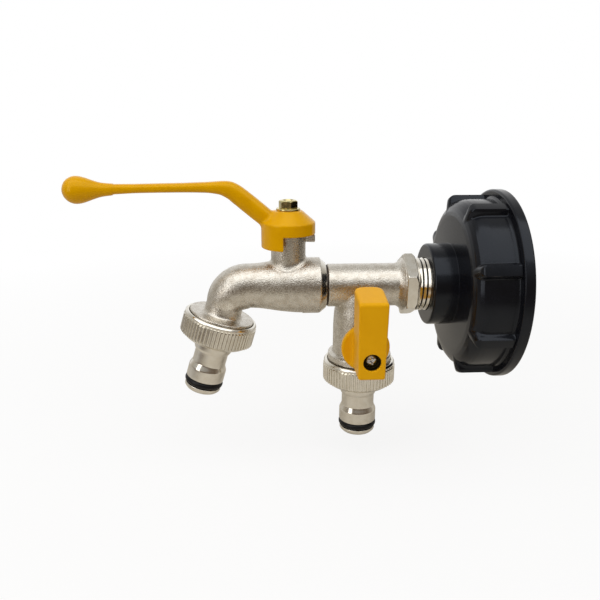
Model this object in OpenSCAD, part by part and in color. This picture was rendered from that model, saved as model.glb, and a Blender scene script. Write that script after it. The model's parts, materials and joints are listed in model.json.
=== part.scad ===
// Tank tap adapter: a threaded tank cap that carries a brass tee with a small
// branch ball valve and, behind it, a lever ball tap with a bent spout.
// Both outlets end in a knurled union nut and a quick-connect hose nipple.
// Millimetres, +Z up. The tank thread's axis is X and opens towards +X;
// the origin is the centre of that thread.

/* [Layout] */
// From the tank thread's centre back to the branch valve's axis
branch_back = 51.7; // [50:0.1:56]
// From the branch valve's axis to the lever tap's stem axis
tap_pitch = 31.7; // [31:0.1:36]
// Lean of the lever tap's outlet from the vertical, in degrees
spout_lean = 16.5; // [14:0.5:18]
// Depth of the branch ball's centre below the pipe axis
branch_drop = 23; // [22.6:0.1:23.4]
// Height of the collar's top face below the pipe axis at the branch outlet
branch_outlet_drop = 31; // [30:0.1:33]

/* [Tank cap] */
// Outer radius of the cap's wall
cap_wall_r = 36.4; // [35.5:0.1:37]
// Radius of the rim at the mouth
cap_rim_r = 40.6; // [39.5:0.1:41]
// Width of the rim along the axis
cap_rim_w = 4.4; // [3:0.1:5]
// Distance from the tank thread's centre to the mouth
cap_mouth_x = 8.2; // [8:0.1:9]
// Distance from the tank thread's centre back to the shoulder
cap_shoulder_back = 12.8; // [12:0.1:12.8]
// Radius of the threaded boss
cap_boss_r = 17.6; // [16:0.1:18]
// Distance from the tank thread's centre back to the boss face
cap_boss_back = 24; // [22:0.1:26]
// Number of grip ribs round the wall
cap_ribs = 8; // [6:1:12]
// Width of a grip rib
cap_rib_w = 5.5; // [4:0.1:7]
// Radius over the grip ribs
cap_rib_r = 39; // [38:0.1:39.5]
// Radius at the crest of the tank thread
tank_crest_r = 27.9; // [27.5:0.1:28.5]
// Radius at the root of the tank thread
tank_root_r = 30.6; // [30.2:0.1:31]
// Pitch of the tank thread
tank_pitch = 6; // [6:1:6]
// Turns of the tank thread
tank_turns = 3; // [3:1:3]

/* [Tee] */
// Outer radius of the tee's run
pipe_r = 9.25; // [9:0.05:9.6]
// Bore radius of the tee's run
pipe_bore_r = 6.2; // [5:0.1:6.5]
// Width across the flats of the inlet hexagon
hex_af = 24; // [23:0.5:25]
// Turn of the hexagon about the run, in degrees
hex_turn = 3; // [0:1:60]
// Crest radius of the inlet thread
inlet_r = 11.45; // [11:0.05:11.6]
// Radius of the branch valve's casting
branch_r = 11.9; // [11:0.1:12.2]

/* [Outlets] */
// Crest radius of both outlet threads
outlet_r = 13.2; // [13.2:0.05:13.25]
// Radius of the collar above each outlet thread
collar_r = 14; // [13.6:0.1:14.1]
// Radius over the union nut's knurl
nut_r = 16.05; // [15.8:0.05:16.4]
// Number of teeth in the knurl
nut_teeth = 60; // [40:2:72]
// Radius of the hose nipple's coupling land
nipple_r = 8.3; // [8.2:0.05:8.4]
// Radius of the nipple's latch neck
nipple_neck_r = 7.3; // [7:0.1:7.5]
// Bore radius of the hose nipple
nipple_bore_r = 4.6; // [4.2:0.1:5]

/* [Lever] */
// Distance from the stem axis to the end of the lever's knob
lever_reach = 91.2; // [85:0.1:95]
// Radius of the lever's knob
knob_r = 5.7; // [5:0.1:6.5]
// Height of the lever's grip above the pipe axis
lever_z = 42; // [40:0.1:44]
// Outer radius of the lever's hub
hub_r = 11.35; // [11:0.05:11.8]
// Angle of the stop window in the hub's skirt, in degrees
window_angle = 149; // [148:1:152]

/* [Flag handle] */
// Width of the handle's grip
flag_w = 12; // [11:0.1:13]
// Reach of the grip above the pivot
flag_up = 24.5; // [22:0.1:26]
// Rise of the grip's top face from front to back
flag_rise = 2.6; // [1:0.1:4]
// Reach of the handle below the pivot
flag_down = 7.4; // [7:0.1:8]
// Distance from the branch axis to the grip's front face
flag_front = 33; // [31:0.1:34]
// Distance from the branch axis to the grip's back face
flag_back = 16.6; // [16.4:0.1:18]
// Radius of the handle's round skirt
flag_skirt_r = 10.2; // [10:0.1:10.6]

/* [Hidden] */
$fn = 96;
eps = 0.01;
// Gap between pieces that are screwed or pressed together
seat_gap = 0.02;
// Radial gap between pieces that turn on each other
run_gap = 0.06;

branch_x = -branch_back;
tap_x = branch_x - tap_pitch;
branch_z = -branch_drop;

// Tank cap
cap_floor_x = -9.6;
cap_shoulder_x = -cap_shoulder_back;
cap_boss_x = -cap_boss_back;
cap_face_x = cap_shoulder_x - 1.1;
cap_edge_r = 4.4;
cap_rib_inset = 1.2;
cap_rib_root = 4.6;
cap_boss_edge_r = 1.2;
tank_crest_w = 1.8;
tank_flank_w = 0.72;
gasket_t = 1.9;
gasket_r = 27.2;
gasket_bore_r = 20;
inlet_gap = 0.05;
cap_inlet_r = inlet_r + inlet_gap;

// Tee
hex_x0 = branch_x + 17.6;
hex_x1 = branch_x + 22.4;
hex_cone_x = branch_x + 15.2;
hex_edge = 1.9;
// Turned blank of a hexagon stands this far outside its corners
hex_blank = 0.15;
inlet_end_x = cap_floor_x - 0.6;
spigot_r = 8.3;
spigot_x0 = tap_x + 10.6;
spigot_x1 = branch_x - 15;
ball_seat_gap = 0.05;
// Tang on a stem's end that turns its ball
tang_w = 2.4;
tang_depth = 1.5;

// Branch ball valve
branch_ball_r = 7;
branch_port_r = 4.2;
branch_cavity_r = 7.4;
branch_seat_t = 3.3;
branch_seat_top = branch_z + branch_ball_r + 0.4;
branch_seat_bottom = branch_z - branch_ball_r - 0.4;
branch_ring_h = 4;
branch_outlet_z = -branch_outlet_drop;
branch_outlet_bore_r = 7.9;
branch_boss_r = 7.4;
branch_boss_front = 14.4;
branch_stem_r = 3;
branch_gland_r = 4.9;
branch_gland_depth = 3.4;

// Union: stations along the outlet's axis, counted from the collar's top face
collar_t = 2.9;
thread_end_t = 11;
washer_t = 1.6;
nut_top_t = 3.05;
nut_end_t = 14.2;
nut_mouth_r = 14.3;
nut_lip_r = 8.5;
flange_r = 12.6;
flange_t0 = thread_end_t + washer_t + 2 * seat_gap;
flange_t1 = nut_end_t - 0.9;
knurl_t0 = 5.3;
knurl_t1 = 12.4;
knurl_depth = 0.45;
groove_t = 19.3;
neck_end_t = 25.3;
bulge_t = 27.6;
ring_t0 = 32.7;
ring_t1 = 35.9;
nipple_end_t = 38.3;
o_ring_proud = 0.2;
o_ring_r = 1.45;
o_ring_floor_r = nipple_r + o_ring_proud - 2 * o_ring_r - seat_gap;

// Lever tap
tap_end_x = tap_x + 15.8;
tap_turn_x = tap_x + 13.1;
tap_end_r = 11.9;
tap_chamfer_r = 9.7;
tap_ball_r = 7.5;
tap_port_r = 4.6;
tap_cavity_r = 7.8;
tap_seat_t = 3.4;
tap_spout_bore_r = 5.2;
neck_r = 7.3;
neck_foot_r = 9.3;
neck_foot_z = 8.6;
neck_bend_r = 7.9;
neck_bend_z = 11;
neck_plain_z = 13;
tap_swell_r = 11.35;
tap_waist_r = 10.3;
tap_swell_l = 6;
neck_top = 23.4;
tap_stem_r = 3.1;
tap_gland_r = 4.9;
tap_gland_bottom = 15.4;
bend_x = tap_x - 16.4;
bend_z = -11.3;
bend_r = 11.6;
bend_steps = 10;
spout_run = 2.2;
tap_collar_t = 2.2;
tap_collar_end_t = collar_t + 0.9;
spout_x = bend_x - bend_r * cos(spout_lean) - spout_run * sin(spout_lean);
spout_z = bend_z + bend_r * sin(spout_lean) - spout_run * cos(spout_lean);

// Lever
lever_travel = 90;
hub_roof_z = neck_top + 1.2;
hub_crease_z = hub_roof_z + 3.2;
hub_top_z = hub_crease_z + 4.8;
hub_top_r = 5.8;
hub_wall = 1.45;
skirt_z = hub_roof_z - 7.4;
window_z = hub_roof_z - 1.6;
window_from = -103;
lug_gap_angle = 0.6;
lug_from = window_from + lever_travel + lug_gap_angle;
lug_to = window_from + window_angle - lug_gap_angle;
lug_inner_r = neck_r - 0.4;
lug_z0 = window_z - 3.6;
lug_z1 = window_z - 0.3;
stem_flat = 4.4;
stem_top_r = 2.9;
stem_thread_r = 2;
lever_washer_t = 0.9;
lever_nut_af = 7;
lever_nut_h = 3.3;
lever_nut_edge = 0.8;
lever_nut_turn = -76;
lever_flange_r = 5;
stem_end_z = hub_top_z + lever_washer_t + lever_nut_h - 0.4;
arm_root_z = hub_crease_z + 1.6;
knob_neck = 13.2;
knob_drop = 0.6;

// Flag handle
flag_skirt_back = 14.3;
flag_skirt_front = 17.2;
flag_wall = 1.8;
flag_hollow_front = 16.3;
flag_stem_front = 17.9;
flag_foot_w = 10.9;
flag_corner_r = 3.6;
flag_edge = 0.8;
flag_drive = 4.2;
flag_drive_front = 23.8;
screw_hole_r = 3.6;
screw_seat = 29.4;
screw_head_r = 2.8;
screw_head_t = 1.6;
screw_r = 1.5;

nickel = "#b9b3a6";
yellow = "#f0ab00";
black = "#1c1e22";
rubber = "#0c0c0d";
ptfe = "#f2f0ea";
chrome = "#dfe2e6";
zinc = "#d6c27a";

// Places a child built along +Z so that it runs along +X from x
module along_x(x) {
    translate([x, 0, 0]) rotate([0, 90, 0]) children();
}

// Places a child built along +Z so that it runs towards -Y from the branch axis
module along_front(y = 0) {
    translate([branch_x, -y, branch_z]) rotate([90, 0, 0]) children();
}

// Places a child built downstream along +Z on the branch outlet
module on_branch_outlet() {
    translate([branch_x, 0, branch_outlet_z]) rotate([180, 0, 0]) children();
}

// Places a child built downstream along +Z on the leaning spout
module on_tap_outlet() {
    translate([spout_x, 0, spout_z]) rotate([0, 180 + spout_lean, 0]) children();
}

// Solid of revolution about Z from an outline of [radius, height] points
module turned(outline) {
    rotate_extrude() polygon(outline);
}

// Ring about Z between two radii and two heights
module ring(outer, inner, z0, z1) {
    difference() {
        translate([0, 0, z0]) cylinder(r = outer, h = z1 - z0);
        translate([0, 0, z0 - eps]) cylinder(r = inner, h = z1 - z0 + 2 * eps);
    }
}

// Points of a circular arc in a plane, from angle a0 to a1
function arc(cx, cy, r, a0, a1, steps) =
    [for (i = [0:steps]) let (a = a0 + (a1 - a0) * i / steps) [cx + r * cos(a), cy + r * sin(a)]];

// Closed tube of elliptical rings [x, z, pitch angle, half height, half width] in the XZ plane
function tube_ring(s, sides) =
    [for (k = [0:sides - 1])
        let (a = 360 * k / sides, up = s[3] * cos(a), side = s[4] * sin(a))
        [s[0] - up * sin(s[2]), side, s[1] + up * cos(s[2])]];

module tube(stations, sides) {
    n = len(stations);
    points = [for (s = stations) each tube_ring(s, sides)];
    walls = [for (i = [0:n - 2], k = [0:sides - 1])
        let (a = i * sides + k, b = i * sides + (k + 1) % sides)
        [a, a + sides, b + sides, b]];
    first = [for (k = [0:sides - 1]) k];
    last = [for (k = [sides - 1:-1:0]) (n - 1) * sides + k];
    polyhedron(points = points, faces = concat([first], walls, [last]), convexity = 6);
}

// Tank cap with grip ribs, rim, threaded boss and coarse inner thread
module cap_shell() {
    wall_x = cap_shoulder_x + cap_edge_r;
    along_x(0) turned(concat(
        [[cap_inlet_r, cap_boss_x]],
        arc(cap_boss_r - cap_boss_edge_r, cap_boss_x + cap_boss_edge_r, cap_boss_edge_r, -90, 0, 6),
        [[cap_boss_r, cap_face_x]],
        arc(cap_wall_r - cap_edge_r, wall_x, cap_edge_r, -90, 0, 6),
        [[cap_wall_r, cap_mouth_x - cap_rim_w],
         [cap_rim_r - 0.5, cap_mouth_x - cap_rim_w],
         [cap_rim_r, cap_mouth_x - cap_rim_w + 0.5],
         [cap_rim_r, cap_mouth_x - 0.5],
         [cap_rim_r - 0.5, cap_mouth_x],
         [tank_root_r, cap_mouth_x],
         [tank_root_r, cap_floor_x],
         [cap_inlet_r, cap_floor_x]]
    ));
}

module tank_thread_turn(x) {
    half = tank_crest_w / 2;
    along_x(x) turned([
        [tank_root_r + 0.2, -half - tank_flank_w],
        [tank_crest_r, -half],
        [tank_crest_r, half],
        [tank_root_r + 0.2, half + tank_flank_w]
    ]);
}

module grip_rib(angle) {
    x0 = cap_face_x + cap_rib_inset;
    round_r = cap_rib_w / 2;
    h = cap_rib_r - cap_wall_r + cap_rib_root;
    rotate([angle, 0, 0]) translate([0, 0, cap_wall_r - cap_rib_root]) {
        translate([x0 + round_r, -round_r, 0])
            cube([cap_mouth_x - cap_rim_w + 0.2 - x0 - round_r, cap_rib_w, h]);
        translate([x0 + round_r, 0, 0])
            cylinder(r = round_r, h = h);
    }
}

module adapter_cap() {
    color(black) union() {
        cap_shell();
        for (i = [0:tank_turns - 1]) tank_thread_turn((i - (tank_turns - 1) / 2) * tank_pitch);
        for (i = [0:cap_ribs - 1]) grip_rib((i + 0.5) * 360 / cap_ribs);
    }
}

// Flat rubber ring on the cap's floor
module cap_gasket() {
    color(rubber) along_x(0) ring(gasket_r, gasket_bore_r, cap_floor_x + seat_gap, cap_floor_x + gasket_t);
}

// Inlet hexagon with turned corners
module inlet_hexagon() {
    corner_r = hex_af / 2 / cos(30);
    blank_r = corner_r + hex_blank;
    intersection() {
        translate([hex_x0 - 1, 0, 0]) rotate([hex_turn, 0, 0]) rotate([0, 90, 0])
            cylinder(r = corner_r, h = hex_x1 - hex_x0 + 2, $fn = 6);
        along_x(0) turned([
            [0, hex_x0], [corner_r - hex_edge / 2, hex_x0], [blank_r, hex_x0 + hex_edge / 3],
            [blank_r, hex_x1 - hex_edge], [corner_r - hex_edge, hex_x1], [0, hex_x1]
        ]);
    }
}

module tee_run() {
    along_x(0) turned([
        [0, spigot_x0], [spigot_r - 0.6, spigot_x0], [spigot_r, spigot_x0 + 0.6],
        [spigot_r, spigot_x1], [pipe_r - 0.3, spigot_x1], [pipe_r, spigot_x1 + 0.3],
        [pipe_r, hex_cone_x], [hex_af / 2 - 0.3, hex_x0], [inlet_r - 1.2, hex_x1 - 0.1],
        [inlet_r - 1.2, hex_x1 + 0.9], [inlet_r, hex_x1 + 1.8],
        [inlet_r, inlet_end_x - 1], [inlet_r - 1, inlet_end_x], [0, inlet_end_x]
    ]);
    inlet_hexagon();
}

// Casting round the branch ball, with its collar and outlet thread
module branch_casting() {
    flare = 2.4;
    end_z = branch_outlet_z - thread_end_t;
    translate([branch_x, 0, 0]) turned([
        [0, 1], [8, 0.6], [9.6, -1.2], [10.4, -3.4], [branch_r - 0.9, -9], [branch_r - 0.2, -13],
        [branch_r, -20], [branch_r, branch_outlet_z + flare], [collar_r - 0.4, branch_outlet_z],
        [collar_r, branch_outlet_z - 0.4], [collar_r, branch_outlet_z - collar_t],
        [outlet_r - 0.8, branch_outlet_z - collar_t], [outlet_r - 0.8, branch_outlet_z - collar_t - 1],
        [outlet_r, branch_outlet_z - collar_t - 1.8], [outlet_r, end_z + 0.8],
        [outlet_r - 0.8, end_z], [0, end_z]
    ]);
    along_front() cylinder(r = branch_boss_r, h = branch_boss_front);
}

// Brass tee: threaded inlet, run to the lever tap and branch valve housing
module tee_body() {
    color(nickel) difference() {
        union() {
            tee_run();
            branch_casting();
        }
        along_x(spigot_x0 - 1) cylinder(r = pipe_bore_r, h = inlet_end_x - spigot_x0 + 2);
        translate([branch_x, 0, branch_seat_top - 1]) cylinder(r = branch_port_r, h = -branch_seat_top + 1);
        translate([branch_x, 0, branch_outlet_z - 1])
            cylinder(r = branch_cavity_r, h = branch_seat_top - branch_outlet_z + 1);
        translate([branch_x, 0, branch_outlet_z - thread_end_t - 1])
            cylinder(r = branch_outlet_bore_r, h = thread_end_t + 1 + branch_seat_bottom - branch_outlet_z);
        along_front() cylinder(r = branch_stem_r + run_gap, h = branch_boss_front + 1);
        along_front(branch_boss_front - branch_gland_depth)
            cylinder(r = branch_gland_r, h = branch_gland_depth + 1);
    }
}

// Threaded ring that holds the branch seats and ball from below
module branch_retainer() {
    top = branch_seat_bottom - seat_gap;
    color(nickel) translate([branch_x, 0, 0]) difference() {
        translate([0, 0, top - branch_ring_h])
            cylinder(r = branch_outlet_bore_r - seat_gap, h = branch_ring_h);
        translate([0, 0, top - branch_ring_h - 1]) cylinder(r = branch_port_r, h = branch_ring_h + 2);
        for (side = [-1, 1]) translate([side * 6.2, 0, top - branch_ring_h - eps])
            translate([-1.2, -1, 0]) cube([2.4, 2, 1.5]);
    }
}

// Cupped sealing ring that bears on a ball at the origin, between z0 and z1
module ball_seat(outer, port, ball, z0, z1) {
    difference() {
        translate([0, 0, z0]) cylinder(r = outer, h = z1 - z0);
        translate([0, 0, z0 - 1]) cylinder(r = port, h = z1 - z0 + 2);
        sphere(r = ball + ball_seat_gap);
    }
}

module branch_seat_upper() {
    top = branch_seat_top - branch_z - seat_gap;
    color(ptfe) translate([branch_x, 0, branch_z])
        ball_seat(branch_cavity_r - seat_gap, branch_port_r + 0.4, branch_ball_r, top - branch_seat_t, top);
}

module branch_seat_lower() {
    top = branch_seat_top - branch_z - seat_gap;
    color(ptfe) translate([branch_x, 0, branch_z]) rotate([180, 0, 0])
        ball_seat(branch_cavity_r - seat_gap, branch_port_r + 0.4, branch_ball_r, top - branch_seat_t, top);
}

// Drilled ball along Z with a slot for the stem's tang on its +X side
module drilled_ball(ball, port, slot_w, slot_depth) {
    difference() {
        sphere(r = ball);
        translate([0, 0, -ball - 1]) cylinder(r = port, h = 2 * ball + 2);
        translate([ball - slot_depth, -slot_w / 2, -ball]) cube([slot_depth + 1, slot_w, 2 * ball]);
    }
}

module branch_ball() {
    color(chrome) translate([branch_x, 0, branch_z]) rotate([0, 0, -90])
        drilled_ball(branch_ball_r, branch_port_r, tang_w, tang_depth + seat_gap);
}

module branch_packing() {
    y0 = branch_boss_front - branch_gland_depth + seat_gap;
    color(ptfe) along_front() ring(branch_gland_r - seat_gap, branch_stem_r + run_gap, y0, y0 + 1.5);
}

module branch_gland_nut() {
    y0 = branch_boss_front - branch_gland_depth + 1.5 + 2 * seat_gap;
    color(nickel) along_front() difference() {
        translate([0, 0, y0]) cylinder(r = branch_gland_r - seat_gap, h = branch_boss_front + 0.3 - y0);
        translate([0, 0, y0 - 1]) cylinder(r = branch_stem_r + run_gap, h = 6);
        for (side = [-1, 1]) translate([side * 4.1 - 0.6, -0.5, branch_boss_front - 0.6]) cube([1.2, 1, 2]);
    }
}

// Stem along the front axis: tang in the ball, round journal, square drive, tapped end
module branch_stem() {
    tang_y = branch_ball_r - tang_depth;
    journal_y = sqrt(branch_ball_r * branch_ball_r - branch_stem_r * branch_stem_r);
    color(nickel) along_front() difference() {
        union() {
            translate([0, 0, branch_ball_r - 0.15]) cylinder(r = branch_stem_r, h = 10.6);
            translate([-tang_w / 2 + seat_gap, -journal_y / 3, tang_y])
                cube([tang_w - 2 * seat_gap, 2 * journal_y / 3, 2]);
            translate([-flag_drive / 2, -flag_drive / 2, 17])
                cube([flag_drive, flag_drive, flag_drive_front - 17]);
        }
        translate([0, 0, 16]) cylinder(r = screw_r, h = 10);
    }
}

// Grip block of the flag handle, hollow from the back, standing along +Z from the pivot
module flag_grip() {
    depth = flag_front - flag_back;
    half = flag_w / 2;
    inner = half - flag_wall;
    difference() {
        intersection() {
            translate([0, 0, -flag_down]) linear_extrude(height = flag_down + flag_up + flag_rise)
                polygon(concat(
                    [[-half + flag_edge, -flag_front], [half - flag_edge, -flag_front]],
                    [[half, -flag_front + flag_edge]],
                    arc(half - flag_corner_r, -flag_back - flag_corner_r, flag_corner_r, 0, 90, 6),
                    arc(-half + flag_corner_r, -flag_back - flag_corner_r, flag_corner_r, 90, 180, 6),
                    [[-half, -flag_front + flag_edge]]
                ));
            rotate([90, 0, 90]) translate([0, 0, -half]) linear_extrude(height = flag_w) polygon([
                [-flag_front, -flag_down], [-flag_back, -flag_down], [-flag_back, flag_up + flag_rise],
                [-flag_front, flag_up]
            ]);
            rotate([90, 0, 0]) linear_extrude(height = flag_front) polygon([
                [-flag_foot_w / 2, -flag_down], [flag_foot_w / 2, -flag_down],
                [half, flag_up + flag_rise], [-half, flag_up + flag_rise]
            ]);
        }
        translate([-inner, -flag_front + flag_wall, flag_skirt_r + 1])
            cube([2 * inner, depth, flag_up - flag_skirt_r - 1 - flag_wall]);
    }
}

module branch_handle() {
    socket = flag_drive + 2 * seat_gap;
    color(yellow) translate([branch_x, 0, branch_z]) difference() {
        union() {
            flag_grip();
            rotate([90, 0, 0]) translate([0, 0, flag_skirt_back])
                cylinder(r = flag_skirt_r, h = flag_skirt_front - flag_skirt_back);
        }
        rotate([90, 0, 0]) {
            translate([0, 0, flag_skirt_back - 1])
                cylinder(r = flag_skirt_r - flag_wall, h = flag_hollow_front - flag_skirt_back + 1);
            translate([0, 0, flag_skirt_back])
                cylinder(r = branch_stem_r + 0.3, h = flag_stem_front - flag_skirt_back);
            translate([-socket / 2, -socket / 2, flag_skirt_back])
                cube([socket, socket, flag_drive_front + 0.1 - flag_skirt_back]);
            translate([0, 0, flag_skirt_back])
                cylinder(r = screw_r + 0.2, h = screw_seat - flag_skirt_back + 1);
            translate([0, 0, screw_seat]) cylinder(r = screw_hole_r, h = 6);
        }
    }
}

// Pan-head cross-recess screw that holds the flag handle on its stem
module branch_handle_screw() {
    head = screw_seat + seat_gap;
    color(chrome) along_front() difference() {
        turned([
            [0, 18], [screw_r - 0.3, 18], [screw_r - seat_gap, 18.4], [screw_r - seat_gap, head],
            [screw_head_r, head], [screw_head_r, head + 0.7], [screw_head_r - 0.5, head + 1.3],
            [screw_head_r - 1.3, head + screw_head_t], [0, head + screw_head_t]
        ]);
        for (turn = [20, 110]) rotate([0, 0, turn])
            translate([-1.5, -0.4, head + 0.5]) cube([3, 0.8, screw_head_t]);
    }
}

// Union nut built downstream along +Z
module union_nut() {
    difference() {
        turned([
            [nut_mouth_r, nut_top_t], [nut_r - 1, nut_top_t], [nut_r - 0.35, nut_top_t + 0.9],
            [nut_r - knurl_depth, knurl_t0], [nut_r, knurl_t0 + 0.4],
            [nut_r, knurl_t1 - 0.4], [nut_r - knurl_depth, knurl_t1], [nut_r - 2.4, nut_end_t],
            [nut_lip_r, nut_end_t], [nut_lip_r, flange_t1 + seat_gap],
            [outlet_r + seat_gap, flange_t1 + seat_gap],
            [outlet_r + seat_gap, collar_t + 2.2], [nut_mouth_r, collar_t + 1.4]
        ]);
        for (i = [0:nut_teeth - 1]) rotate([0, 0, i * 360 / nut_teeth])
            translate([nut_r, 0, knurl_t0 - 0.2]) rotate([0, 0, 45])
                translate([-knurl_depth / 1.42, -knurl_depth / 1.42, 0])
                    cube([knurl_depth * 1.42, knurl_depth * 1.42, knurl_t1 - knurl_t0 + 0.4]);
    }
}

// Quick-connect hose nipple built downstream along +Z
module hose_nipple() {
    turned([
        [nipple_bore_r, flange_t0], [flange_r, flange_t0], [flange_r, flange_t1],
        [nut_lip_r - 0.25, flange_t1], [nut_lip_r - 0.25, groove_t - 0.6],
        [nut_lip_r - 0.65, groove_t], [nipple_neck_r, groove_t], [nipple_neck_r, neck_end_t],
        [nipple_neck_r + 0.45, neck_end_t + 1.1], [nipple_r, bulge_t],
        [nipple_r, ring_t0], [o_ring_floor_r, ring_t0], [o_ring_floor_r, ring_t1],
        [nipple_r - 0.3, ring_t1], [nipple_r - 0.3, nipple_end_t - 1.2],
        [nipple_r - 1.4, nipple_end_t], [nipple_bore_r, nipple_end_t]
    ]);
}

// Rubber ring seated in the nipple's end groove
module nipple_o_ring() {
    middle = (ring_t0 + ring_t1) / 2;
    translate([0, 0, middle]) rotate_extrude()
        translate([nipple_r + o_ring_proud - o_ring_r, 0]) circle(r = o_ring_r, $fn = 48);
}

module flat_washer() {
    ring(flange_r, nipple_bore_r + 1.4, thread_end_t + seat_gap, flange_t0 - seat_gap);
}

module branch_union_nut() {
    color(nickel) on_branch_outlet() union_nut();
}

module branch_hose_nipple() {
    color(nickel) on_branch_outlet() hose_nipple();
}

module branch_nipple_o_ring() {
    color(rubber) on_branch_outlet() nipple_o_ring();
}

module branch_flat_washer() {
    color(rubber) on_branch_outlet() flat_washer();
}

module tap_union_nut() {
    color(nickel) on_tap_outlet() union_nut();
}

module tap_hose_nipple() {
    color(nickel) on_tap_outlet() hose_nipple();
}

module tap_nipple_o_ring() {
    color(rubber) on_tap_outlet() nipple_o_ring();
}

module tap_flat_washer() {
    color(rubber) on_tap_outlet() flat_washer();
}

// Radius of the spout casting at a share of its bend
function bend_section(share) = 9.5 + 0.5 * sin(200 * share) - 1.7 * share * share;

// Cast elbow from the ball housing round to the leaning spout
module spout_casting() {
    sweep = 90 - spout_lean;
    run = [[tap_x - 2, 0, 0, 11.3, 11.3], [tap_x - 8, 0.3, 0, 10.4, 10.4], [tap_x - 13, 0.3, 0, 9.7, 9.7]];
    bend = [for (i = [0:bend_steps])
        let (share = i / bend_steps, a = sweep * share, r = bend_section(share))
        [bend_x - bend_r * sin(a), bend_z + bend_r * cos(a), a, r, r]];
    end_r = bend_section(1);
    reach = tap_collar_t + 0.4;
    last = [[spout_x - reach * sin(spout_lean), spout_z - reach * cos(spout_lean), sweep, end_r, end_r]];
    tube(concat(run, bend, last), 32);
}

// Turned outlet of the lever tap: collar and thread, built downstream along +Z
module tap_outlet() {
    turned([
        [0, tap_collar_t], [collar_r - 0.7, tap_collar_t], [collar_r, tap_collar_t + 0.6],
        [collar_r, tap_collar_end_t], [outlet_r - 0.8, tap_collar_end_t], [outlet_r - 0.8, collar_t + 1.4],
        [outlet_r, collar_t + 2.2],
        [outlet_r, thread_end_t - 0.8], [outlet_r - 0.8, thread_end_t], [0, thread_end_t]
    ]);
}

// Lug on the neck that the lever's window turns against
module stop_lug() {
    translate([tap_x, 0, lug_z0]) linear_extrude(height = lug_z1 - lug_z0) polygon(concat(
        arc(0, 0, lug_inner_r, lug_from, lug_to, 8), arc(0, 0, hub_r, lug_to, lug_from, 8)
    ));
}

// Cast brass tap: ball housing, stem neck, elbow and threaded outlet
module tap_body() {
    color(nickel) difference() {
        union() {
            along_x(0) turned([
                [0, tap_x - tap_swell_l], [tap_waist_r, tap_x - tap_swell_l], [tap_swell_r, tap_x],
                [tap_end_r, tap_x + tap_swell_l],
                [tap_end_r, tap_turn_x], [tap_chamfer_r, tap_end_x], [0, tap_end_x]
            ]);
            spout_casting();
            on_tap_outlet() tap_outlet();
            translate([tap_x, 0, 0]) turned([
                [0, 0], [neck_foot_r, 0], [neck_foot_r, neck_foot_z], [neck_bend_r, neck_bend_z],
                [neck_r, neck_plain_z],
                [neck_r, neck_top - 0.6], [neck_r - 0.6, neck_top], [0, neck_top]
            ]);
            stop_lug();
        }
        along_x(tap_x + 7.8) cylinder(r = spigot_r + seat_gap, h = 10);
        along_x(tap_x - 7.9) cylinder(r = tap_cavity_r, h = 16);
        along_x(bend_x - 1) cylinder(r = tap_spout_bore_r, h = 17);
        on_tap_outlet() translate([0, 0, -spout_run - 4.5])
            cylinder(r = tap_spout_bore_r, h = thread_end_t + spout_run + 6);
        on_tap_outlet() translate([0, 0, tap_collar_end_t]) cylinder(r = 9, h = thread_end_t);
        translate([bend_x - 2.6, 0, bend_z + bend_r - 2.4]) sphere(r = tap_spout_bore_r + 0.8);
        translate([bend_x - 6.6, 0, bend_z + bend_r - 4.7]) sphere(r = tap_spout_bore_r + 0.6);
        translate([tap_x, 0, 0]) cylinder(r = tap_stem_r + run_gap, h = neck_top + 1);
        translate([tap_x, 0, tap_gland_bottom]) cylinder(r = tap_gland_r, h = neck_top);
    }
}

// Threaded ring that holds the rear seat against the tap's ball
module tap_seat_retainer() {
    x0 = tap_x + tap_ball_r + 0.45 + seat_gap;
    color(nickel) along_x(x0) difference() {
        cylinder(r = spigot_r, h = spigot_x0 - x0 - seat_gap);
        translate([0, 0, -1]) cylinder(r = tap_port_r, h = 5);
    }
}

module tap_seat() {
    top = tap_ball_r + 0.38;
    ball_seat(tap_cavity_r - seat_gap, tap_port_r + 0.4, tap_ball_r, top - tap_seat_t, top);
}

module tap_seat_front() {
    color(ptfe) translate([tap_x, 0, 0]) rotate([0, -90, 0]) tap_seat();
}

module tap_seat_rear() {
    color(ptfe) translate([tap_x, 0, 0]) rotate([0, 90, 0]) tap_seat();
}

module tap_ball() {
    color(chrome) translate([tap_x, 0, 0]) rotate([0, -90, 0])
        drilled_ball(tap_ball_r, tap_port_r, tang_w, tang_depth + seat_gap);
}

module tap_packing() {
    z0 = tap_gland_bottom + seat_gap;
    color(ptfe) translate([tap_x, 0, 0]) ring(tap_gland_r - seat_gap, tap_stem_r + run_gap, z0, z0 + 4);
}

module tap_gland_nut() {
    z0 = tap_gland_bottom + 4 + 2 * seat_gap;
    color(nickel) translate([tap_x, 0, 0]) difference() {
        translate([0, 0, z0]) cylinder(r = tap_gland_r - seat_gap, h = neck_top + 0.5 - z0);
        translate([0, 0, z0 - 1]) cylinder(r = tap_stem_r + run_gap, h = 8);
        for (side = [-1, 1]) translate([side * 4.1 - 0.6, -0.5, neck_top - 0.5]) cube([1.2, 1, 2]);
    }
}

// Cross-section of the stem's top: a circle with two flats
module flatted(r, flat) {
    intersection() {
        circle(r = r);
        square([2 * r + 1, flat], center = true);
    }
}

module tap_stem() {
    tang_z = tap_ball_r - tang_depth;
    color(nickel) translate([tap_x, 0, 0]) union() {
        translate([0, 0, tap_ball_r - 0.1]) cylinder(r = tap_stem_r, h = hub_roof_z - 0.4 - tap_ball_r);
        translate([-2.2, -tang_w / 2 + seat_gap, tang_z]) cube([4.4, tang_w - 2 * seat_gap, 2]);
        translate([0, 0, hub_roof_z - 1]) linear_extrude(height = hub_top_z - 0.2 - hub_roof_z + 1)
            flatted(stem_top_r, stem_flat);
        translate([0, 0, hub_top_z - 1]) cylinder(r = stem_thread_r, h = stem_end_z - hub_top_z + 1);
    }
}

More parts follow.
